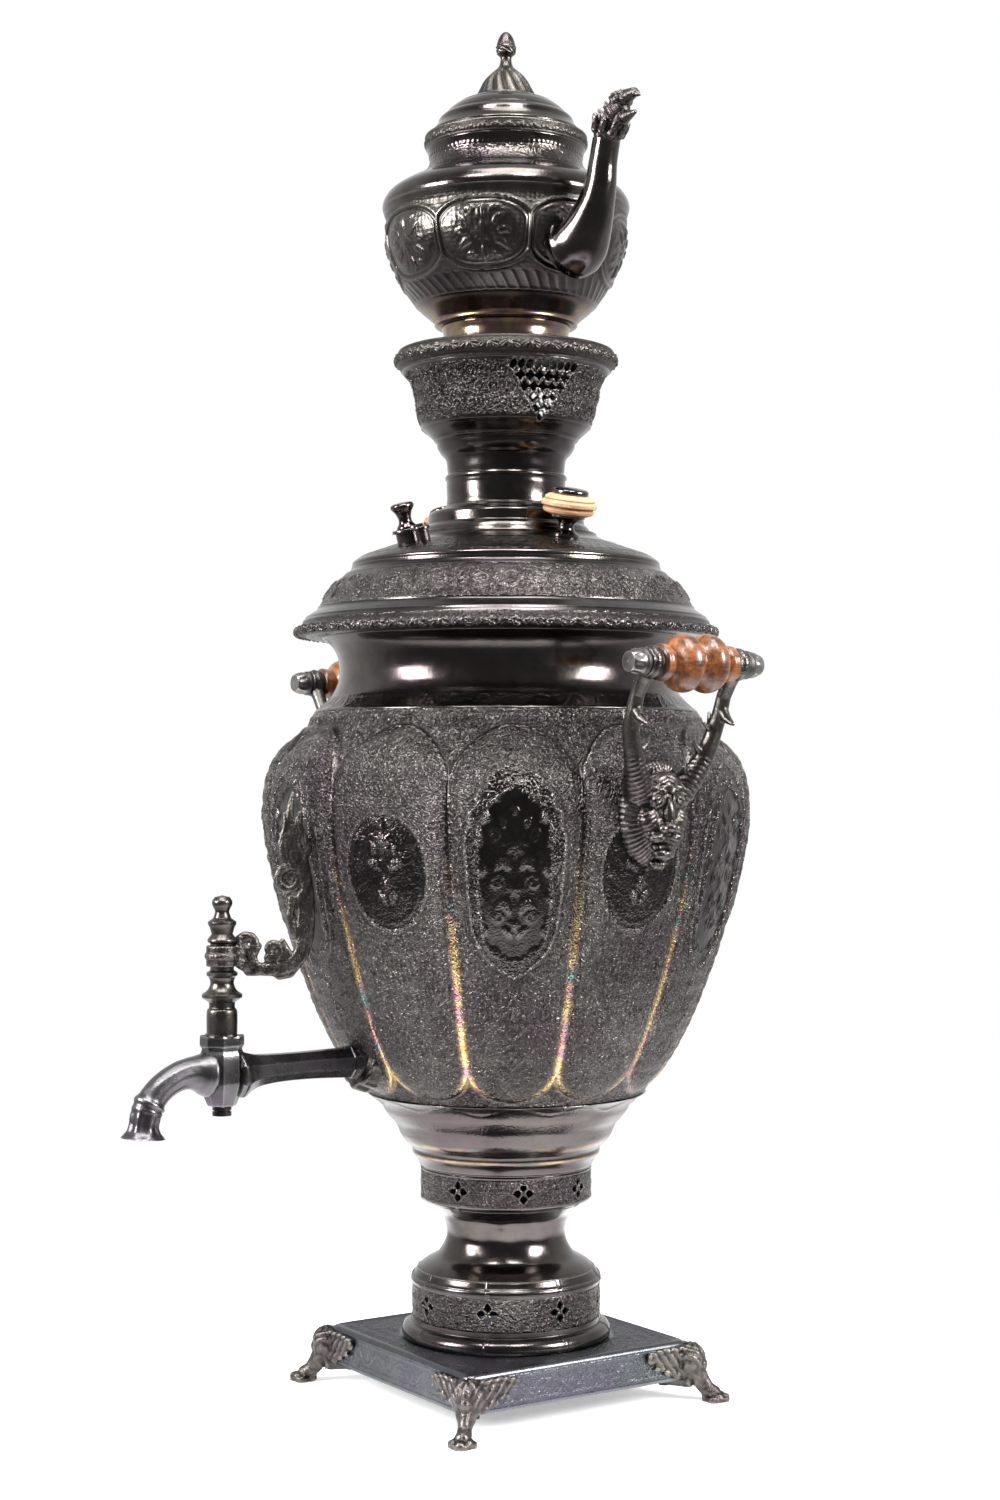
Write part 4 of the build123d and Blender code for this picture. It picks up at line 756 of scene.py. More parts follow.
# ------------------------------------------------------------------ teapot
def bowl_relief(A, S, Z, R):
    p = ((A - 90.0 + 22.5) % 45.0) - 22.5
    x = np.radians(p) * R
    w = np.radians(22.5) * R
    zc, hh = 600.5, 18.0
    # ovals flattened where they meet
    e = (1 - (np.abs(x / (w * 1.12)) ** 2.4 + np.abs((Z - zc) / hh) ** 2.4) ** (1 / 2.4)) * 17.0
    e = np.minimum(e, w - np.abs(x) + 0.2)
    inside_m = smooth(e, 2.0, 4.2)
    H = 0.95 * bump_line(e - 0.3, 0.9) + 0.6 * bump_line(e - 2.6, 0.7) - 0.5 * smooth(e, 0.6, 1.4) * (1 - smooth(e, 3.4, 6.5)) + 0.5 * inside_m
    fl = np.maximum.reduce([rosette(x, Z, 0, 600, 7.4, 8), leaf(x, Z, 0, 606, 9, 2.2, 90), leaf(x, Z, 0, 594, 9, 2.2, -90)])
    for s in (1, -1):
        for (cx, cz, ln, wd, an) in ((5, 603, 10, 2.0, 35), (5, 597, 10, 2.0, -35), (7, 600, 9, 1.9, 0), (3, 610, 8, 1.5, 20), (3, 590, 8, 1.5, -20)):
            fl = np.maximum(fl, leaf(x * s, Z, cx, cz, ln, wd, an))
    H = H + inside_m * 0.7 * fl
    low = smooth(582.5 - Z, -1, 1) * smooth(Z, 573.0, 575.0)
    sw = (A / 360.0 * 54 + (Z - 575) * 0.10) % 1.0 - 0.5
    H = H + low * 0.32 * bump_line(sw, 0.2)
    H = H + 0.45 * bump_line(Z - 573.6, 0.7)
    ground = smooth(-e, -0.4, 0.6) * smooth(Z, 582, 584)
    upper = smooth(Z, 619.5, 621.5)
    H = H * (1 - upper)
    chased = np.clip(ground + 0.55 * inside_m * (1 - 0.6 * fl), 0, 1) * (1 - upper)
    # golden tint low on the bowl: painted reflection of the crown below on the polished underside
    tarnish_hue_and_painted_reflection = smooth(574.0 - Z, 0, 8) * 0.3
    return H - 0.3 * (1 - upper), (chased * smooth(Z, 574, 576), 0.6 * bump_line(e + 1.0, 0.9) + 0.5 * bump_line(e - 1.5, 0.5), tarnish_hue_and_painted_reflection)


lathe("teapot_vessel", [(0.02, 561.7)] + TEA_BOWL, 150, 840, inner=inward(TEA_BOWL, 1.6) + [(0.02, 563.3)], n_inner=26, relief=bowl_relief,
      body="teapot", material=M_PUNCH, replaces=("teapot_bowl",), slot="silver_chased", sharp=55.0)


def shoulder_relief(A, S, Z, R):
    band = smooth(Z, 641.5, 642.5) * smooth(651.0 - Z, 0, 0.8)
    dots = bump_line(Z - 652.0, 0.5) * (0.5 + 0.5 * np.cos(np.radians(A) * 90))
    return 0.35 * dots + 0.4 * bump_line(Z - 641.4, 0.6), (band * 0.8, 0.3 * bump_line(Z - 627.6, 0.5), 0 * A)


lathe("teapot_collar", TEA_SHOULDER, 80, 600, inner=inward(TEA_SHOULDER, 1.4), n_inner=16, relief=shoulder_relief, body="teapot",
      material=M_POL, replaces=("teapot_shoulder",), slot="silver_polished", sharp=None)


def band_relief(A, S, Z, R):
    q = (A * 40 / 360.0) % 1.0 - 0.5
    L = S.max()
    xr, zr = q * 6.8, S - L * 0.5
    lf = np.maximum.reduce([rosette(xr, zr, 0, 0, 2.3, 5), leaf(xr, zr, -3.4, -1.5, 3.6, 1.0, 35), leaf(xr, zr, 3.4, -1.5, 3.6, 1.0, 145)])
    fade = smooth(S, 0.6, 1.3) * smooth(L - S, 0.6, 1.3)
    return fade * (0.6 * lf - 0.5), (0.4 + 0 * A, (1 - lf) * 0.6 * fade, 0 * A)


lathe("teapot_leaf_band", TEA_BAND, 24, 720, inner=[(37.8, 663.4), (37.8, 660.0), (40.8, 656.6)], n_inner=8, relief=band_relief,
      body="teapot", material=M_CAST, replaces=("teapot_rim_band",), slot="cast_silver", sharp=None)
# fx blue 0.35 tints the whole foot ring golden: painted reflection of the crown below
lathe("teapot_foot_ring", TEA_FOOT, 30, 360, inner=inward(TEA_FOOT, 2.0), n_inner=6, body="teapot", material=M_POL,
      relief=lambda A, S, Z, R: (0 * A, (0 * A, 0 * A, 0.35 + 0 * A)), replaces=("teapot_foot",), slot="silver_polished", sharp=None)

LID_IN = [(3.0, 684.0), (3.0, 682.9), (13.0, 682.9), (21.0, 681.4), (27.0, 678.2), (30.4, 675.4), (32.2, 673.2), (34.4, 671.4), (35.5, 668.8),
          (36.0, 666.4), (36.0, 658.6), (37.2, 658.6), (37.2, 663.5)]
lathe("teapot_lid_turning", TEA_LID, 70, 480, inner=LID_IN, n_inner=40, body="teapot_lid", material=M_POL,
      relief=lambda A, S, Z, R: (0.25 * bump_line(R - 25.0, 0.7), (0 * A, 0.5 * bump_line(Z - 672.6, 0.6) + 0.4 * bump_line(Z - 666.2, 0.5), 0 * A)),
      replaces=("teapot_lid_dome",), slot="silver_polished", sharp=45.0)


def finial_relief(A, S, Z, R):
    cone = smooth(Z, 684.6, 686.0) * smooth(699.5 - Z, 0, 2.0)
    ph = (A / 360.0 * 12 + (Z - 684) * 0.045) % 1.0 - 0.5
    flute = np.abs(np.cos(np.pi * ph))
    acorn = smooth(Z, 707.8, 708.8) * smooth(711.8 - Z, 0, 0.5)
    H = cone * (1.5 * flute - 1.3) * np.clip(R / 12.0, 0.3, 1.0)
    H = H + acorn * 0.3 * np.cos(np.radians(A) * 9 + Z * 3) + 0.35 * bump_line(Z - 711.6, 0.4)
    return H, (0.3 * cone + 0.5 * acorn, cone * (1 - flute) * 0.9, 0 * A)


lathe("lid_acorn", FINIAL, 110, 288, inner=[(0.02, 720.0), (0.02, 684.0)], n_inner=3, relief=finial_relief, body="teapot_lid", material=M_CAST,
      replaces=("lid_finial",), slot="cast_silver", sharp=None)


# ------------------------------------------------------------------ tubes along a path
def tube(name, pts, radii, nu=48, per=10, squash=1.0, wall=None, relief=None, **kw):
    """Smooth tube along a path in the XZ plane or near it; with a wall it is hollow and open at both ends."""
    p = np.array(pts, float)
    r = np.array(radii, float)
    dense, rr = [], []
    ext = np.vstack([2 * p[0] - p[1], p, 2 * p[-1] - p[-2]])
    er = np.r_[r[0], r, r[-1]]
    for i in range(1, len(ext) - 2):
        for t in np.linspace(0, 1, per, endpoint=False):
            c = (np.array([0, 1, 0, 0]) + t * np.array([-.5, 0, .5, 0]) + t * t * np.array([1, -2.5, 2, -.5]) + t ** 3 * np.array([-.5, 1.5, -1.5, .5]))
            dense.append(c @ ext[i - 1:i + 3])
            rr.append(c @ er[i - 1:i + 3])
    dense.append(p[-1])
    rr.append(r[-1])
    d, rr = np.array(dense), np.array(rr)
    t = np.gradient(d, axis=0)
    t /= np.linalg.norm(t, axis=1, keepdims=True)
    ref = np.array([0.0, 1.0, 0.0]) if abs(t[0][1]) < 0.9 else np.array([1.0, 0, 0])
    rows = []
    for q, tt, rad in zip(d, t, rr):
        side = ref - tt * (ref @ tt)
        side /= np.linalg.norm(side)
        up = np.cross(tt, side)
        rows.append((q, side, up, rad))
    ang = np.arange(nu) / nu * 2 * np.pi

    def ring_of(q, side, up, rad, k):
        hr = rad if relief is None else rad + relief(ang, k)
        return q + np.outer(np.cos(ang) * hr, side) * squash + np.outer(np.sin(ang) * hr, up)

    V = [ring_of(*row, k / (len(rows) - 1)) for k, row in enumerate(rows)]
    if wall:
        V += [q + np.outer(np.cos(ang) * (rad - wall), side) * squash + np.outer(np.sin(ang) * (rad - wall), up) for q, side, up, rad in reversed(rows)]
        faces = grid_faces(len(V), nu, True, True)
    else:
        V = [np.repeat(rows[0][0][None], nu, 0)] + V + [np.repeat(rows[-1][0][None], nu, 0)]
        faces = grid_faces(len(V), nu)
    V = np.array(V)
    fx = np.zeros((*V.shape[:2], 4))
    fx[..., 0] = kw.pop("stip", 0.0)
    return put(name, V, faces, fx, **kw)


SPOUT_PATH = [(59.0, 0, 593.6), (67.0, 0, 596.0), (75.0, 0, 603.5), (81.4, 0, 613.0), (85.0, 0, 622.0), (87.0, 0, 632.0), (90.0, 0, 643.0)]
SPOUT_R = [16.4, 15.4, 12.2, 9.4, 8.0, 7.2, 7.0]
tube("spout_neck", SPOUT_PATH, SPOUT_R, nu=72, per=14, wall=1.6, relief=lambda a, k: 0.5 * np.exp(-((k - 0.10) / 0.03) ** 2) + 0.18 * np.cos(8 * a) * max(0.0, 1 - k * 3),
     body="teapot", material=M_POL, replaces=("teapot_spout",), slot="silver_polished", sharp=60.0)


# ------------------------------------------------------------------ cast pieces built up and fused
def fused(name, balls, rods, body, material, replaces, voxel=0.55, smoothing=4, push=None, extra=None, spin=0.0, ground=0.35):
    """Union of ellipsoids and tapered bars, remeshed into one skin, then shaped by vertex moves."""
    bm = bmesh.new()
    for c, rad, *rot in balls:
        m = Matrix.Translation(Vector(c))
        if rot:
            m = m @ Matrix.Rotation(math.radians(rot[0][2]), 4, "Z") @ Matrix.Rotation(math.radians(rot[0][1]), 4, "Y") @ Matrix.Rotation(math.radians(rot[0][0]), 4, "X")
        m = m @ Matrix.Diagonal((*rad, 1.0))
        bmesh.ops.create_icosphere(bm, subdivisions=3, radius=1.0, matrix=m)
    for p0, p1, r0, r1, *opt in rods:
        p, q = Vector(p0), Vector(p1)
        d = q - p
        rot = d.to_track_quat("Z", "Y").to_matrix().to_4x4()
        bmesh.ops.create_cone(bm, cap_ends=True, segments=24, radius1=r0, radius2=r1, depth=d.length, matrix=Matrix.Translation((p + q) / 2) @ rot)
        if opt:
            continue
        for c, r in ((p, r0), (q, r1)):
            bmesh.ops.create_icosphere(bm, subdivisions=2, radius=r, matrix=Matrix.Translation(c))
    if extra:
        extra(bm)
    bmesh.ops.scale(bm, vec=(MM, MM, MM), verts=bm.verts)
    mesh = bpy.data.meshes.new(name)
    bm.to_mesh(mesh)
    bm.free()
    ob = bpy.data.objects.new(name, mesh)
    bpy.context.scene.collection.objects.link(ob)
    mod = ob.modifiers.new("skin", "REMESH")
    mod.mode = "VOXEL"
    mod.voxel_size = voxel * MM
    mod.use_smooth_shade = True
    sm = ob.modifiers.new("soft", "SMOOTH")
    sm.factor = 0.5
    sm.iterations = smoothing
    dg = bpy.context.evaluated_depsgraph_get()
    new = bpy.data.meshes.new_from_object(ob.evaluated_get(dg))
    ob.modifiers.clear()
    ob.data = new
    if push:
        co = np.zeros(len(new.vertices) * 3, np.float32)
        new.vertices.foreach_get("co", co)
        co = co.reshape(-1, 3) / MM
        no = np.zeros(len(new.vertices) * 3, np.float32)
        new.vertices.foreach_get("normal", no)
        co2 = push(co, no.reshape(-1, 3))
        new.vertices.foreach_set("co", (co2 * MM).astype(np.float32).ravel())
        new.update()
    if spin:
        new.transform(Matrix.Rotation(math.radians(spin), 4, "Z"))
    for f in new.polygons:
        f.use_smooth = True
    new.materials.clear()
    new.materials.append(material)
    a = new.color_attributes.new("fx", "FLOAT_COLOR", "POINT")
    a.data.foreach_set("color", np.tile([ground, 0, 0, 1], len(new.vertices)).astype(np.float32))
    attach(ob, body)
    if replaces:
        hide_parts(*replaces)
    return ob



# ------------------------------------------------------------------ turned small pieces
STEM = [(7.0, -1.2), (7.0, 1.6), (5.0, 2.8), (4.0, 4.6), (4.2, 7.0), (6.2, 8.8), (9.0, 9.8), (9.0, 11.0), (0.02, 11.0)]
KNOB = [(10.2, 11.0), (12.6, 12.0), (13.2, 13.4), (12.9, 14.4), (14.3, 15.6), (14.3, 17.2), (13.2, 18.4), (12.6, 19.6), (11.0, 20.8), (8.4, 21.4)]
CAP = [(9.0, 21.4), (9.3, 22.4), (9.0, 23.6), (7.4, 24.4), (3.0, 24.9), (0.02, 25.0)]
for side, rz in (("right", 0.0), ("left", 180.0)):
    m = Matrix.Rotation(math.radians(rz), 4, "Z") @ place(54.0, 0, 447.3, ry=13.0)
    lathe("knob_stem_" + side, STEM, 40, 96, inner=[(0.02, -1.2)] * 2, n_inner=2, transform=m, body="lid", material=M_POL, replaces=("lid_knob_stem_" + side,),
          slot="silver_polished", sharp=45.0)
    lathe("knob_disc_" + side, KNOB, 60, 128, inner=[(2.3, 21.4), (2.3, 11.0)], n_inner=3, transform=m, body="lid", material=M_KNOB,
          relief=lambda A, S, Z, R: (-0.5 * bump_line(Z - 14.5, 0.35) - 0.35 * bump_line(Z - 18.6, 0.3), (0 * A, 0.8 * bump_line(Z - 14.5, 0.5) + 0.7 * bump_line(Z - 18.6, 0.4), 0 * A)),
          replaces=("lid_knob_wood_" + side,), slot="knob_wood", sharp=50.0)
    lathe("knob_top_" + side, CAP, 24, 96, inner=[(0.02, 21.4)] * 2, n_inner=2, transform=m, body="lid", material=M_POL,
          replaces=("lid_knob_cap_" + side,), slot="silver_polished", sharp=50.0)

GRIP = [(8.2, -22.3), (8.9, -21.0), (8.6, -18.0), (6.8, -15.6), (8.6, -14.4), (12.6, -11.8), (14.2, -8.0), (13.6, -4.4), (10.4, -1.2), (9.6, 0.0),
        (10.4, 1.2), (13.6, 4.4), (14.1, 8.0), (12.6, 11.8), (8.6, 14.4), (6.8, 15.6), (8.6, 18.0), (8.9, 21.0), (8.2, 22.3)]
GRIP = [(r * 0.994, z) for r, z in GRIP]
ENDCAP = [(6.6, 30.0), (6.9, 31.4), (6.4, 32.6), (6.1, 35.0), (5.5, 37.4), (4.8, 39.2), (0.02, 39.6)]


def grip_relief(A, S, Z, R):
    dark = bump_line(np.abs(Z) - 8.0, 3.4) * 0.45 + 0.7 * bump_line(Z, 0.6) + 0.4 * bump_line(np.abs(Z) - 15.4, 0.6) + 0.9 * smooth(np.abs(Z), 20.9, 21.5)
    return -0.35 * bump_line(np.abs(Z) - 19.6, 0.4), (0 * A, np.clip(dark, 0, 1), 0 * A)


for side, sx in (("right", 1), ("left", -1)):
    m = place(160.0 * sx, 0, 378.0, rx=90.0)
    lathe("grip_" + side, GRIP, 110, 128, inner=[(2.54, 22.3), (2.54, -22.3)], n_inner=4, relief=grip_relief, transform=m,
          body="grip_" + side, material=M_WOOD, replaces=("handle_grip_" + side,), slot="handle_wood", sharp=60.0)
    for k, s in (("a", 1), ("b", -1)):
        mm = place(160.0 * sx, 0, 378.0, rx=90.0 * s)
        ob = lathe("end_cap_" + side + "_" + k, ENDCAP, 36, 80, inner=[(0.02, 30.0)] * 2, n_inner=2, transform=mm, body="stand", material=M_CAP,
                   relief=lambda A, S, Z, R: (0.25 * np.cos(np.radians(A) * 8) * smooth(Z, 33.4, 35.0) * smooth(38.8 - Z, 0, 1), (0 * A, 0.95 * smooth(33.2 - Z, 0, 0.8), 0 * A)),
                   replaces=("handle_end_caps_" + side,), slot="cast_silver", sharp=45.0)

m = place(0, -60.0, 446.0, rx=15.0)
PEG = [(5.2, 6.5), (5.0, 7.6), (3.6, 9.6), (3.4, 12.0), (4.4, 15.0), (6.0, 17.4), (6.1, 18.8), (4.6, 19.8), (0.02, 20.2)]
lathe("tap_spindle", [(0.02, 163.4), (5.0, 163.4), (6.24, 197.2), (6.24, 197.4)] + SPINDLE, 330, 96, transform=place(0, -168.0, 0), body="tap_key_body", material=M_CAST,
      replaces=("tap_key",), slot="cast_silver", sharp=50.0)

# ------------------------------------------------------------------ plinth
def plinth():
    """A square pan with a round hole: rows run from the hole out over the top, over the edge and down the skirt."""
    prof = [(40.0, 28.5, 0.0), (40.0, 30.2, 0.0), (41.0, 30.5, 0.0), (54.0, 30.5, 0.0), (58.0, 30.3, 0.35), (64.5, 30.2, 0.95), (65.5, 30.5, 1), (66.2, 30.9, 1),
            (67.6, 30.5, 1), (68.6, 29.4, 1), (69.0, 28.0, 1), (69.0, 13.2, 1), (69.2, 12.4, 1), (69.0, 11.0, 1), (67.2, 11.0, 1), (67.0, 28.5, 1)]
    rows = []
    for (s0, z0, k0), (s1, z1, k1) in zip(prof, prof[1:]):
        n = max(2, int(math.hypot(s1 - s0, z1 - z0) / 0.7))
        for t in np.linspace(0, 1, n, endpoint=False):
            rows.append((s0 + (s1 - s0) * t, z0 + (z1 - z0) * t, k0 + (k1 - k0) * t))
    rows.append(prof[-1])
    rows = np.array(rows)
    nu = 880
    q = np.arange(nu) / nu * 4.0
    side_i, f = np.floor(q), (q % 1.0) * 2 - 1
    c = [np.array([1, 0]), np.array([0, 1]), np.array([-1, 0]), np.array([0, -1])]
    sq = np.array([[c[int(i)][0] - c[int(i)][1] * g, c[int(i)][1] + c[int(i)][0] * g] for i, g in zip(side_i, f)])
    ang = np.arctan2(sq[:, 1], sq[:, 0])
    ci = np.c_[np.cos(ang), np.sin(ang)]
    pw = 26.0
    sup = ci / ((np.abs(ci[:, :1]) ** pw + np.abs(ci[:, 1:]) ** pw) ** (1 / pw))
    S, Z, K = rows[:, 0][:, None], rows[:, 1][:, None], rows[:, 2][:, None]
    X = S * (ci[:, 0] * (1 - K) + sup[:, 0] * K)
    Y = S * (ci[:, 1] * (1 - K) + sup[:, 1] * K)
    Zf = np.repeat(Z, nu, 1)
    along = np.repeat((f * 69.0)[None], len(rows), 0)
    top = (Zf > 30.0) & (S > 55) & (S < 65)
    skirt = (S > 68.9) & (Zf > 13.6) & (Zf < 27.6)
    H = np.where(top, 0.28 * scatter(X, Y, 7.2), 0)
    q8 = (along / 11.5) % 1.0 - 0.5
    zz = Zf - 20.4
    wave = 0.45 * bump_line(zz - 3.6 * np.sin(along * 2 * np.pi / 23.0), 0.8) + 0.5 * rosette(q8 * 11.5, zz, 0, 0, 3.4, 6)
    edges = 0.4 * bump_line(zz - 6.4, 0.6) + 0.4 * bump_line(zz + 6.0, 0.6)
    Hs = np.where(skirt, 0.55 * wave + edges - 0.35, 0)
    Z2 = Zf + H
    nx, ny = np.where(np.abs(sup[:, 0]) > np.abs(sup[:, 1]), np.sign(sup[:, 0]), 0), np.where(np.abs(sup[:, 1]) >= np.abs(sup[:, 0]), np.sign(sup[:, 1]), 0)
    X = X + Hs * nx
    Y = Y + Hs * ny
    V = np.stack([X, Y, Z2], -1)
    fx = np.zeros((len(rows), nu, 4))
    fx[..., 0] = np.where(top, 0.9, np.where(skirt, 0.55, 0.0))
    faces = grid_faces(len(rows), nu, True, True)[:, ::-1]
    put("plinth_pan", V, faces, fx, body="stand", material=M_PLINTH, replaces=("base_plinth",), slot="silver_chased", sharp=50.0)


plinth()

# ------------------------------------------------------------------ feet
def foot_push(co, no):
    u, y, z = co[:, 0], co[:, 1], co[:, 2]
    along = np.abs(y) * 1.414
    wing = smooth(along, 4.0, 9.0) * smooth(z, 9.0, 12.0)
    h = wing * 0.32 * np.sin(along * 1.3 - z * 1.05)
    shank = (1 - wing) * smooth(z, 4.0, 7.0)
    h = h + shank * 0.45 * np.cos(np.arctan2(y, u - 99.0) * 6.0)
    toes = smooth(4.6 - z, 0, 1.5)
    h = h + toes * 0.5 * np.cos(np.arctan2(y, u - 108.0) * 5.0)
    out = co + no * h[:, None]
    out[:, 2] = np.maximum(out[:, 2], 0.0)
    return out


def foot_parts():
    balls = [((97.8, 0, 21.2), (7.8, 8.6, 8.6)), ((101.2, 0, 24.6), (3.0, 3.4, 3.0)), ((103.2, 0, 18.6), (3.2, 4.4, 3.6)), ((110.8, 0, 1.9), (6.4, 6.2, 2.2)),
             ((115.0, 0, 2.2), (2.9, 2.3, 2.3)), ((113.2, 4.0, 2.2), (2.9, 2.2, 2.3)), ((113.2, -4.0, 2.2), (2.9, 2.2, 2.3)), ((106.2, 0, 6.0), (4.4, 4.2, 3.0))]
    rods = [((95.0, 0, 21.0), (99.5, 0, 15.5), 6.8, 6.0), ((99.5, 0, 15.5), (103.6, 0, 9.8), 6.0, 4.2), ((103.6, 0, 9.8), (106.2, 0, 5.8), 4.2, 3.9),
            ((106.2, 0, 5.8), (110.0, 0, 2.8), 3.9, 4.6), ((111.0, 0, 0.0), (111.0, 0, 2.4), 6.9, 6.9, "flat"), ((78.0, 0, 10.0), (97.0, 0, 10.0), 1.9, 3.6)]
    for s in (1, -1):
        for d, z, a, h in ((6.0, 22.5, 6.5, 6.8), (12.5, 22.6, 6.5, 6.0), (19.0, 23.2, 6.2, 4.8), (24.5, 24.4, 5.0, 3.4), (13.5, 16.4, 5.0, 2.6), (8.0, 14.6, 4.6, 3.2), (21.0, 19.0, 4.2, 2.0)):
            balls.append(((98.6 - d * 0.7071, s * d * 0.7071, z), (a, 2.2, h), (0, 0, 135.0 * s)))
        rods.append(((98.5, 2.0 * s, 27.0), (86.0, 14.6 * s, 28.0), 1.5, 0.9))
        rods.append(((86.0, 14.6 * s, 28.0), (79.6, 20.6 * s, 26.2), 0.9, 1.7))
    return balls, rods


fb, fr = foot_parts()
for nm, a in (("foot_front_right", -45), ("foot_front_left", -135), ("foot_back_left", 135), ("foot_back_right", 45)):
    fused(nm + "_cast", fb, fr, "stand", M_CAST, (nm,), voxel=0.6, smoothing=2, push=foot_push, spin=a, ground=0.5)


# ------------------------------------------------------------------ handle brackets with a grotesque mask
def bracket_parts():
    balls = [((125.2, 0, 306.2), (12.6, 20.0, 26.4)), ((130.6, 0, 305.5), (9.8, 14.4, 20.4)), ((138.2, 6.3, 313.0), (3.2, 4.0, 4.0)), ((138.2, -6.3, 313.0), (3.2, 4.0, 4.0)),
             ((140.0, 0, 306.0), (3.6, 2.9, 8.0)), ((141.8, 0, 299.8), (3.2, 2.8, 2.5)), ((140.6, 3.9, 299.2), (2.7, 2.4, 2.2)), ((140.6, -3.9, 299.2), (2.7, 2.4, 2.2)),
             ((137.8, 5.2, 294.8), (3.6, 4.8, 2.6)), ((137.8, -5.2, 294.8), (3.6, 4.8, 2.6)), ((135.4, 8.6, 303.5), (4.6, 5.4, 6.4)), ((135.4, -8.6, 303.5), (4.6, 5.4, 6.4)),
             ((136.4, 0, 287.0), (4.2, 6.2, 3.2)), ((135.8, 0, 321.0), (4.8, 10.4, 5.6)), ((131.0, 0, 281.6), (3.8, 4.4, 2.6)), ((131.0, 0, 327.6), (5.0, 10.0, 4.6))]
    rods = []
    for s in (1, -1):
        rods += [((139.8, 2.2 * s, 317.2), (138.4, 8.2 * s, 318.8), 1.4, 1.7), ((138.4, 8.2 * s, 318.8), (134.0, 13.2 * s, 313.6), 1.7, 1.2),
                 ((139.2, 5.4 * s, 302.6), (136.8, 10.6 * s, 295.4), 1.1, 0.9)]
        path = [(132.0, 12.0, 316.0), (136.4, 16.6, 323.4), (139.6, 20.4, 331.0), (141.8, 23.4, 339.0), (143.6, 25.4, 347.0), (146.8, 26.2, 355.0), (149.6, 26.3, 363.0), (154.0, 26.3, 370.0), (158.0, 26.3, 375.0)]
        rr = [7.4, 6.2, 5.2, 4.5, 4.1, 3.8, 3.6, 3.8, 4.4]
        for p, q, r0, r1 in zip(path, path[1:], rr, rr[1:]):
            rods.append(((p[0], p[1] * s, p[2]), (q[0], q[1] * s, q[2]), r0, r1))
        rods += [((140.6, 20.8 * s, 334.0), (142.0, 14.4 * s, 340.0), 3.0, 1.1), ((142.0, 14.4 * s, 340.0), (143.0, 13.6 * s, 344.0), 1.1, 0.6),
                 ((143.4, 24.2 * s, 346.0), (144.8, 18.0 * s, 350.4), 2.4, 0.7), ((136.4, 15.6 * s, 323.4), (139.6, 9.8 * s, 329.0), 2.8, 0.9),
                 ((142.0, 25.0 * s, 345.0), (138.6, 26.0 * s, 355.6), 3.0, 0.8),
                 ((148.0, 26.2 * s, 357.0), (151.8, 26.2 * s, 352.2), 3.2, 2.4), ((151.8, 26.2 * s, 352.2), (157.0, 26.2 * s, 349.4), 2.4, 1.0),
                 ((160.0, 22.7 * s, 378.0), (160.0, 29.6 * s, 378.0), 7.2, 7.2, "flat"), ((160.0, 25.2 * s, 378.0), (160.0, 27.2 * s, 378.0), 8.0, 8.0, "flat")]
    return balls, rods


def bracket_push(co, no):
    x, y, z = co[:, 0], co[:, 1], co[:, 2]
    front = smooth(x, 134.0, 136.0) * smooth(336.0 - z, 0, 6)
    mouth = bump_line(z - 290.6, 1.3) * smooth(8.0 - np.abs(y), 0, 3.0) * front
    rr = np.hypot(np.abs(y) - 6.4, z - 313.0)
    h = -1.7 * mouth + front * (0.55 * bump_line(rr - 3.6, 0.6) - 0.5 * bump_line(rr - 2.3, 0.6) - 0.8 * bump_line(rr, 0.8))
    e = np.hypot(y / 13.0, (z - 306.0) / 20.0)
    hair = smooth(e, 0.86, 1.05) * smooth(338.0 - z, 0, 6) * smooth(138.0 - x, 0, 3)
    h = h + hair * 0.2 * np.sin(np.arctan2(z - 306.0, y * 1.35) * 56.0 + 0.35 * e * 20.0)
    h = h + front * 0.16 * np.sin(z * 2.3 + np.abs(y) * 1.1) * smooth(e, 0.4, 0.7)
    return co + no * h[:, None]


bb, br = bracket_parts()
for side, a in (("right", 0), ("left", 180)):
    fused("bracket_" + side, bb, br, "stand", M_CAST, ("handle_bracket_" + side,), voxel=0.5, smoothing=7, push=bracket_push, spin=a, ground=0.35)

# ------------------------------------------------------------------ scroll lever on the tap spindle
LA = math.radians(65.0)


def lp3(s, z, n=0.0):
    return (math.cos(LA) * s + math.sin(LA) * n, -168.0 + math.sin(LA) * s - math.cos(LA) * n, z)


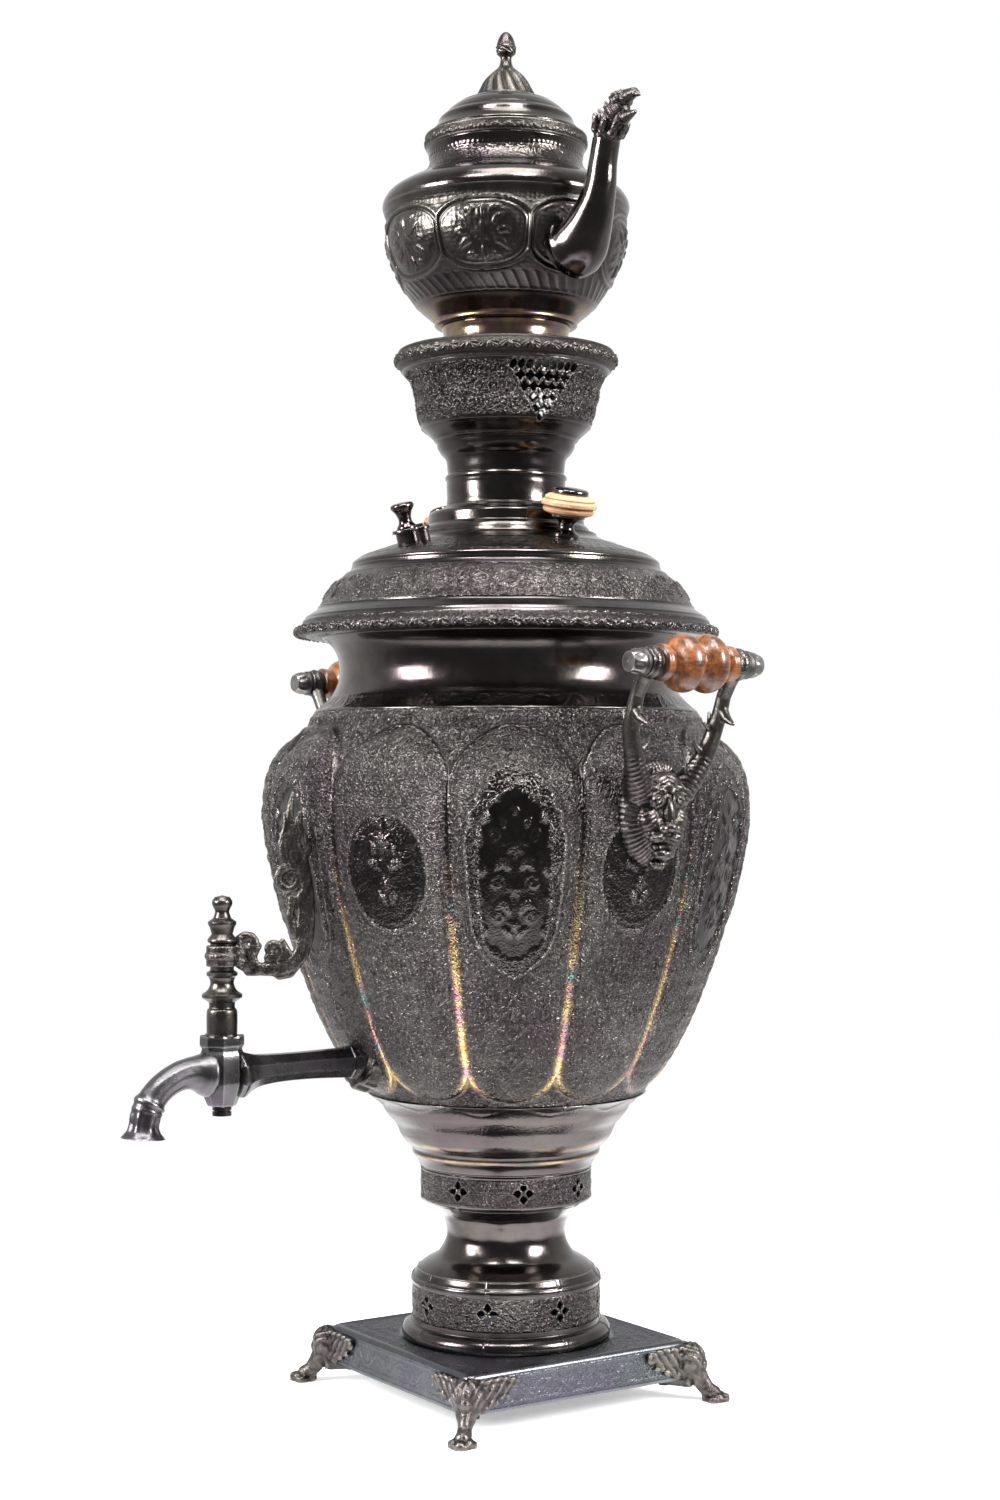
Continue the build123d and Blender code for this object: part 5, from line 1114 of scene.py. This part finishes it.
def lever_parts():
    rods, balls = [], []

    def run(pts, rr):
        for p, q, r0, r1 in zip(pts, pts[1:], rr, rr[1:]):
            rods.append((lp3(*p), lp3(*q), r0, r1))

    rods.append((lp3(0, 231.2), lp3(0, 241.4), 7.8, 7.8, "flat"))
    rods.append((lp3(0, 235.2), lp3(0, 237.4), 8.6, 8.6, "flat"))
    run([(5.0, 236.0), (11.0, 231.6), (18.0, 229.6), (26.0, 229.2), (33.0, 231.0), (38.4, 236.4), (41.4, 245.0), (42.4, 255.0), (42.2, 265.0), (40.6, 275.0), (38.4, 284.0),
         (35.0, 292.0), (33.0, 301.0), (33.2, 309.0), (34.6, 316.4)], [3.4, 3.2, 3.2, 3.4, 3.8, 4.0, 3.8, 3.4, 3.2, 3.4, 3.6, 3.0, 2.4, 1.7, 0.7])
    volute = []
    for k in range(16):
        a = math.radians(-10 + k * 34)
        r = 8.2 - k * 0.40
        volute.append((33.4 + r * math.cos(a), 273.6 + r * math.sin(a)))
    run(volute, [2.5 - 0.07 * k for k in range(16)])
    balls.append((lp3(33.4, 273.6), (1.7, 1.7, 1.7)))
    for cx, cz, r_, n_, a0, sg in ((12.6, 241.6, 5.4, 12, 230, -1), (24.6, 239.0, 4.2, 10, 250, 1)):
        sp = []
        for k in range(n_):
            a = math.radians(a0 + sg * k * 40)
            rr_ = r_ - k * r_ / (n_ + 4)
            sp.append((cx + rr_ * math.cos(a), cz + rr_ * math.sin(a)))
        run(sp, [2.9 - 0.12 * k for k in range(n_)])
        run([sp[0], (cx + (2 if sg > 0 else -2), 231.0)], [2.1, 2.4])
    run([(40.0, 244.0), (35.0, 248.0), (33.2, 256.0), (34.4, 264.0)], [2.6, 2.2, 1.9, 2.2])
    run([(38.0, 238.0), (39.2, 248.0), (39.4, 258.0), (38.8, 266.0)], [3.0, 3.2, 3.0, 2.6])
    run([(36.4, 283.0), (34.4, 290.0), (36.6, 298.0), (38.0, 306.0)], [3.6, 3.4, 2.8, 1.6])
    run([(31.0, 284.0), (29.6, 291.0), (31.4, 299.0), (30.6, 306.0)], [2.8, 2.6, 2.0, 0.9])
    run([(16.0, 229.0), (14.0, 236.0), (18.0, 241.0)], [3.0, 3.0, 1.6])
    run([(30.0, 231.0), (31.6, 238.0), (29.6, 243.6)], [3.0, 2.4, 1.2])
    run([(41.8, 258.0), (44.4, 262.4), (43.4, 268.4)], [2.2, 1.4, 0.8])
    run([(38.6, 283.0), (42.4, 288.0), (40.8, 295.0), (37.6, 302.0)], [2.6, 1.9, 1.3, 0.7])
    run([(36.0, 288.0), (30.4, 290.0), (28.4, 296.0)], [2.2, 1.4, 0.8])
    run([(24.0, 229.4), (28.0, 225.8), (33.4, 226.8), (37.4, 232.0)], [2.2, 1.8, 1.8, 2.0])
    run([(10.0, 232.0), (12.6, 227.6), (18.0, 227.2)], [1.8, 1.5, 1.0])
    return balls, rods


def lever_push(co, no):
    n = co[:, 0] * math.sin(LA) - (co[:, 1] + 168.0) * math.cos(LA)
    s = co[:, 0] * math.cos(LA) + (co[:, 1] + 168.0) * math.sin(LA)
    z = co[:, 2]
    free = smooth(s, 8.0, 11.0)
    flat = 2.7 * np.tanh(n / 2.7)
    groove = 0.22 * np.sin(s * 0.9 - z * 0.5) * smooth(np.abs(n), 1.0, 2.0) * np.sign(n)
    dn = free * (flat - n + groove)
    out = co.copy()
    out[:, 0] += dn * math.sin(LA)
    out[:, 1] -= dn * math.cos(LA)
    return out


lb, lr = lever_parts()
fused("lever_scroll", lb, lr, "tap_key_body", M_CAST, ("tap_lever",), voxel=0.5, smoothing=2, push=lever_push, ground=0.6)

# ------------------------------------------------------------------ tap casting
def octagon(a, k=0.0, amount=1.0):
    q = (a + math.pi / 8) % (math.pi / 4) - math.pi / 8
    return amount * (1 / np.cos(q) - 1)


tube("tap_pipe", [(0, -85.0, 179.5), (0, -91.0, 179.5), (0, -95.0, 179.5), (0, -100.0, 179.5), (0, -118.0, 179.7), (0, -134.0, 179.6), (0, -144.0, 179.3), (0, -150.0, 179.0), (0, -155.0, 178.6), (0, -158.6, 178.2), (0, -160.8, 178.0), (0, -163.0, 178.0)],
     [9.6, 9.0, 7.8, 7.3, 6.7, 6.7, 7.2, 8.0, 9.8, 11.6, 11.4, 8.0], nu=96, per=10, relief=lambda a, k: 7.0 * octagon(a) + 0.35 * math.exp(-((k - 0.22) / 0.012) ** 2),
     body="stand", material=M_STEEL, replaces=("tap_body",), slot="cast_silver", sharp=14.0)


def barrel_relief(A, S, Z, R):
    q = (A + 22.5) % 45.0 - 22.5
    return R * (1 / np.cos(np.radians(q)) - 1), (0 * A, 0.5 * bump_line(Z - 190.0, 0.5), 0 * A)


BARREL = [(5.2, 163.2), (6.4, 163.2), (7.4, 165.6), (8.6, 169.0), (9.8, 173.0), (10.2, 176.0), (10.2, 184.0), (9.9, 188.0), (9.2, 190.0), (9.2, 191.4), (10.0, 193.0), (10.0, 197.0), (6.4, 197.0)]
lathe("tap_barrel", BARREL, 90, 192, inner=[(6.4, 197.0), (5.2, 163.2)], n_inner=20, relief=barrel_relief, transform=place(0, -168.0, 0), body="stand", material=M_STEEL,
      replaces=("tap_body",), slot="cast_silver", sharp=14.0)


def spout_rel(a, k):
    scale = 0.06 * np.cos(a * 10) * smooth(k, 0.22, 0.3) * smooth(0.6 - k, 0, 0.05)
    rings = 1.1 * math.exp(-((k - 0.67) / 0.018) ** 2) + 0.5 * math.exp(-((k - 0.715) / 0.016) ** 2)
    leaf_fold = 0.45 * np.cos(a * 7) * smooth(k, 0.70, 0.78) * smooth(0.99 - k, 0.0, 0.05)
    return scale + rings + leaf_fold


tube("tap_spout", [(0, -172.0, 178.6), (0, -175.0, 178.8), (0, -178.0, 179.2), (0, -182.0, 179.7), (0, -186.0, 179.8), (0, -191.0, 178.9), (0, -197.0, 176.2), (0, -202.6, 172.0), (0, -206.8, 166.6), (0, -209.0, 161.0), (0, -209.9, 156.4), (0, -210.2, 153.2), (0, -210.4, 150.4)],
     [8.0, 11.0, 10.6, 8.8, 7.7, 7.1, 6.8, 6.8, 7.0, 7.2, 7.0, 8.2, 10.7], nu=112, per=12, wall=2.8, relief=spout_rel, body="stand", material=M_STEEL, replaces=("tap_body",), slot="cast_silver", sharp=60.0, stip=0.6)

slope = math.degrees(math.atan2(89.9 - 79.0, 181.0 - 165.0))


def flange_relief(A, S, Z, R):
    edge = smooth(R, 8.5, 12.5)
    return 0.9 * np.cos(np.radians(A) * 8) * smooth(R, 12.2, 13.4) * 0.6 + 0.5 * np.abs(np.cos(np.radians(A) * 4)) * edge - 0.4 * edge, (0.4 + 0 * A, 0.5 * bump_line(R - 9.4, 0.7), 0 * A)


lathe("tap_rosette", [(13.4, -6.0), (13.6, 1.2), (12.6, 2.4), (10.6, 3.0), (9.6, 3.4), (9.0, 4.6), (8.0, 5.2), (7.0, 5.2)], 60, 256, inner=[(7.0, 5.2), (7.0, -6.0)], n_inner=6, relief=flange_relief,
      transform=place(0, -87.6, 178.6, rx=90.0 - slope * 0.6), body="stand", material=M_CAST, replaces=("tap_flange",), slot="cast_silver", sharp=50.0)

# ------------------------------------------------------------------ head of the teapot spout
def head_parts():
    balls = [((103.6, 4.4, 659.4), (2.0, 1.5, 2.0)), ((103.6, -4.4, 659.4), (2.0, 1.5, 2.0)), ((100.0, 0, 655.6), (6.6, 5.4, 5.8))]
    rods = [((90.4, 0, 643.6), (92.6, 0, 648.4), 7.0, 7.0), ((92.6, 0, 648.4), (98.0, 0, 653.8), 7.0, 6.0),
            ((99.0, 0, 657.0), (106.0, 0, 660.4), 4.8, 3.9), ((106.0, 0, 660.4), (112.6, 0, 661.2), 3.9, 2.6), ((112.6, 0, 661.2), (117.0, 0, 659.2), 2.6, 1.0),
            ((98.0, 0, 651.0), (106.0, 0, 650.6), 4.4, 3.0), ((106.0, 0, 650.6), (113.4, 0, 651.4), 3.0, 1.2)]
    for k in range(9):
        a = math.radians(k * 40 + 10)
        c = Vector((91.4, 0, 646.4))
        side, up = Vector((0, 1, 0)), Vector((-0.9, 0, 0.43))
        o = c + side * math.cos(a) * 7.0 + up * math.sin(a) * 7.0
        o2 = c + Vector((3.0, 0, 6.0)) * 0.9 + side * math.cos(a) * 8.8 + up * math.sin(a) * 8.8
        rods.append((tuple(o), tuple(o2), 2.2, 1.3))
    for x0, z0, x1, z1, r in ((99.4, 660.4, 96.4, 663.6, 2.6), (96.0, 657.4, 92.0, 659.8, 2.6), (93.0, 653.4, 88.6, 654.8, 2.6), (103.4, 662.0, 101.8, 664.8, 2.2)):
        rods.append(((x0, 0, z0), (x1, 0, z1), r, 0.8))
        for s in (1, -1):
            rods.append(((x0 + 1, 2.6 * s, z0 - 1.4), (x1 + 2.0, 4.4 * s, z1 - 2.2), r * 0.85, 0.9))
    for s in (1, -1):
        rods.append(((101.0, 4.4 * s, 662.0), (106.4, 3.4 * s, 662.4), 1.2, 0.8))
        rods.append(((97.0, 5.2 * s, 650.0), (94.0, 7.6 * s, 655.4), 1.8, 0.8))
        rods.append(((100.6, 4.6 * s, 652.4), (98.6, 7.2 * s, 658.6), 1.6, 0.7))
    return balls, rods


hb, hr = head_parts()


def head_push(co, no):
    h = 0.16 * np.sin(co[:, 0] * 1.7 + np.abs(co[:, 1]) * 1.5) * smooth(108.0 - co[:, 0], 0, 4)
    return co + no * h[:, None]


fused("spout_crest", hb, hr, "teapot", M_CAST, ("spout_head",), voxel=0.4, smoothing=4, push=head_push, ground=0.5)

# ------------------------------------------------------------------ teapot handle, sockets and bone rings
tube("tea_handle_bow", [(-69.3, 0, 639.8), (-80.0, 0, 642.0), (-88.6, 0, 636.6), (-93.6, 0, 628.0), (-94.6, 0, 618.0), (-92.0, 0, 604.6), (-86.0, 0, 594.6), (-72.5, 0, 589.25)],
     [4.0, 4.2, 4.2, 4.4, 4.6, 4.2, 4.2, 4.0], nu=48, per=14, relief=lambda a, k: 0.5 * math.exp(-((k - 0.12) / 0.012) ** 2) + 0.5 * math.exp(-((k - 0.88) / 0.012) ** 2) + 0.8 * math.exp(-((k - 0.5) / 0.018) ** 2) + 0.12 * np.cos(a * 8) * (0.2 < k < 0.8),
     body="teapot", material=M_POL, replaces=("teapot_handle",), slot="silver_polished", sharp=60.0)
for nm, p, q, r0, r1 in (("top", (-56.0, 0, 634.6), (-66.0, 0, 638.5), 6.0, 4.6), ("low", (-58.0, 0, 588.3), (-69.0, 0, 589.0), 6.2, 4.6)):
    tube("tea_socket_" + nm, [p, tuple((a + b) / 2 for a, b in zip(p, q)), q], [r0 + 1.0, (r0 + r1) / 2 - 0.4, r1], nu=64, per=14,
         relief=lambda a, k: 0.3 * np.cos(a * 8) * (1 - k) + 0.5 * math.exp(-((k - 0.92) / 0.05) ** 2), body="teapot", material=M_CAST, replaces=("teapot_handle_sockets",), slot="cast_silver", sharp=60.0)
for nm, p, q in (("top", (-66.0, 0, 638.5), (-69.3, 0, 639.8)), ("low", (-69.0, 0, 589.0), (-72.5, 0, 589.25))):
    tube("tea_ring_" + nm, [p, tuple((a + b) / 2 for a, b in zip(p, q)), q], [5.1, 5.4, 5.1], nu=48, per=8, relief=lambda a, k: -0.2 * math.exp(-((k - 0.5) / 0.15) ** 2) + 0 * a,
         body="teapot", material=M_BONE, replaces=("handle_insulators",), slot="bone", sharp=50.0)

# ------------------------------------------------------------------ steam vent
VM = place(0, -60.0, 446.0, rx=15.0)
lathe("vent_peg", PEG, 60, 96, transform=VM, body="vent", material=M_POL, replaces=("vent_cover",), slot="silver_polished", sharp=50.0)


def vt(x, y, z):
    return tuple(VM @ Vector((x, y, z)))


fused("vent_plate", [], [(vt(0, 0, 4.8), vt(0, 0, 6.5), 8.1, 7.7, "flat"), (vt(13.5, 0, 4.8), vt(13.5, 0, 6.5), 4.5, 4.2, "flat"), (vt(3, 2.2, 5.7), vt(13.5, 1.6, 5.7), 0.8, 0.8),
      (vt(3, -2.2, 5.7), vt(13.5, -1.6, 5.7), 0.8, 0.8), (vt(3, 0, 5.65), vt(13.5, 0, 5.65), 0.85, 0.85), (vt(3, 1.1, 5.65), vt(13.5, 0.8, 5.65), 0.8, 0.8), (vt(3, -1.1, 5.65), vt(13.5, -0.8, 5.65), 0.8, 0.8)],
      "vent", M_POL, ("vent_cover",), voxel=0.3, smoothing=1, ground=0.1)

# ------------------------------------------------------------------ floor, light, world
floor_mesh = bpy.data.meshes.new("floor")
floor_mesh.from_pydata([(-2, -2, 0), (2, -2, 0), (2, 2, 0), (-2, 2, 0)], [], [(0, 1, 2, 3)])
floor = bpy.data.objects.new("floor", floor_mesh)
bpy.context.scene.collection.objects.link(floor)
fm = bpy.data.materials.new("floor_paper")
fm.use_nodes = True
fnt = fm.node_tree
fb_ = fnt.nodes["Principled BSDF"]
fb_.inputs["Base Color"].default_value = (0.88, 0.88, 0.89, 1)
fb_.inputs["Roughness"].default_value = 0.5
fb_.inputs["Emission Color"].default_value = (1, 1, 1, 1)
fb_.inputs["Emission Strength"].default_value = 0.42
ftc = fnt.nodes.new("ShaderNodeTexCoord").outputs["Object"]
fl_ = fnt.nodes.new("ShaderNodeVectorMath")
fl_.operation = "LENGTH"
fnt.links.new(ftc, fl_.inputs[0])
fade = ramp(fnt, fl_.outputs["Value"], [(0.22, 0.0), (0.55, 1.0)])
ftr = fnt.nodes.new("ShaderNodeBsdfTransparent")
fmx = fnt.nodes.new("ShaderNodeMixShader")
fnt.links.new(fade, fmx.inputs[0])
fnt.links.new(fb_.outputs[0], fmx.inputs[1])
fnt.links.new(ftr.outputs[0], fmx.inputs[2])
fnt.links.new(fmx.outputs[0], fnt.nodes["Material Output"].inputs["Surface"])
floor_mesh.materials.append(fm)

world = bpy.data.worlds.new("studio")
bpy.context.scene.world = world
world.use_nodes = True
wn = world.node_tree
bg = wn.nodes["Background"]
tcw = wn.nodes.new("ShaderNodeTexCoord")
dot = wn.nodes.new("ShaderNodeVectorMath")
dot.operation = "DOT_PRODUCT"
dot.inputs[1].default_value = (math.sin(CAM_AZ), -math.cos(CAM_AZ), 0.0)
wn.links.new(tcw.outputs["Generated"], dot.inputs[0])
front = ramp(wn, math_node(wn, "ADD", math_node(wn, "MULTIPLY", dot.outputs["Value"], 0.5), 0.5), [(0.0, 0.95), (0.42, 0.66), (0.56, 0.28), (0.70, 0.15), (1.0, 0.14)])
lp = wn.nodes.new("ShaderNodeLightPath")
shown = mix_col(wn, lp.outputs["Is Camera Ray"], front, (1.0, 1.0, 1.0))
wn.links.new(shown, bg.inputs["Color"])
bg.inputs["Strength"].default_value = 1.0


def softbox(name, az_off, elev, dist, w, h, power):
    data = bpy.data.lights.new(name, "AREA")
    data.shape = "RECTANGLE"
    data.size, data.size_y = w, h
    data.energy = power
    ob = bpy.data.objects.new(name, data)
    bpy.context.scene.collection.objects.link(ob)
    a, e = CAM_AZ + math.radians(az_off), math.radians(elev)
    ob.location = (dist * math.sin(a) * math.cos(e), -dist * math.cos(a) * math.cos(e), 0.40 + dist * math.sin(e))
    ob.rotation_euler = (Vector((0, 0, 0.40)) - ob.location).to_track_quat("-Z", "Y").to_euler()
    return ob


softbox("softbox_left", -66, 18, 1.9, 0.55, 0.75, 60)
softbox("softbox_right", 62, 20, 1.9, 0.55, 0.75, 60)
softbox("top_light", 10, 76, 1.9, 1.1, 1.1, 34)
softbox("top_left", -34, 56, 1.9, 0.34, 0.34, 17)
softbox("top_right", 22, 58, 1.9, 0.34, 0.34, 17)
bpy.context.scene.view_settings.view_transform = "Standard"
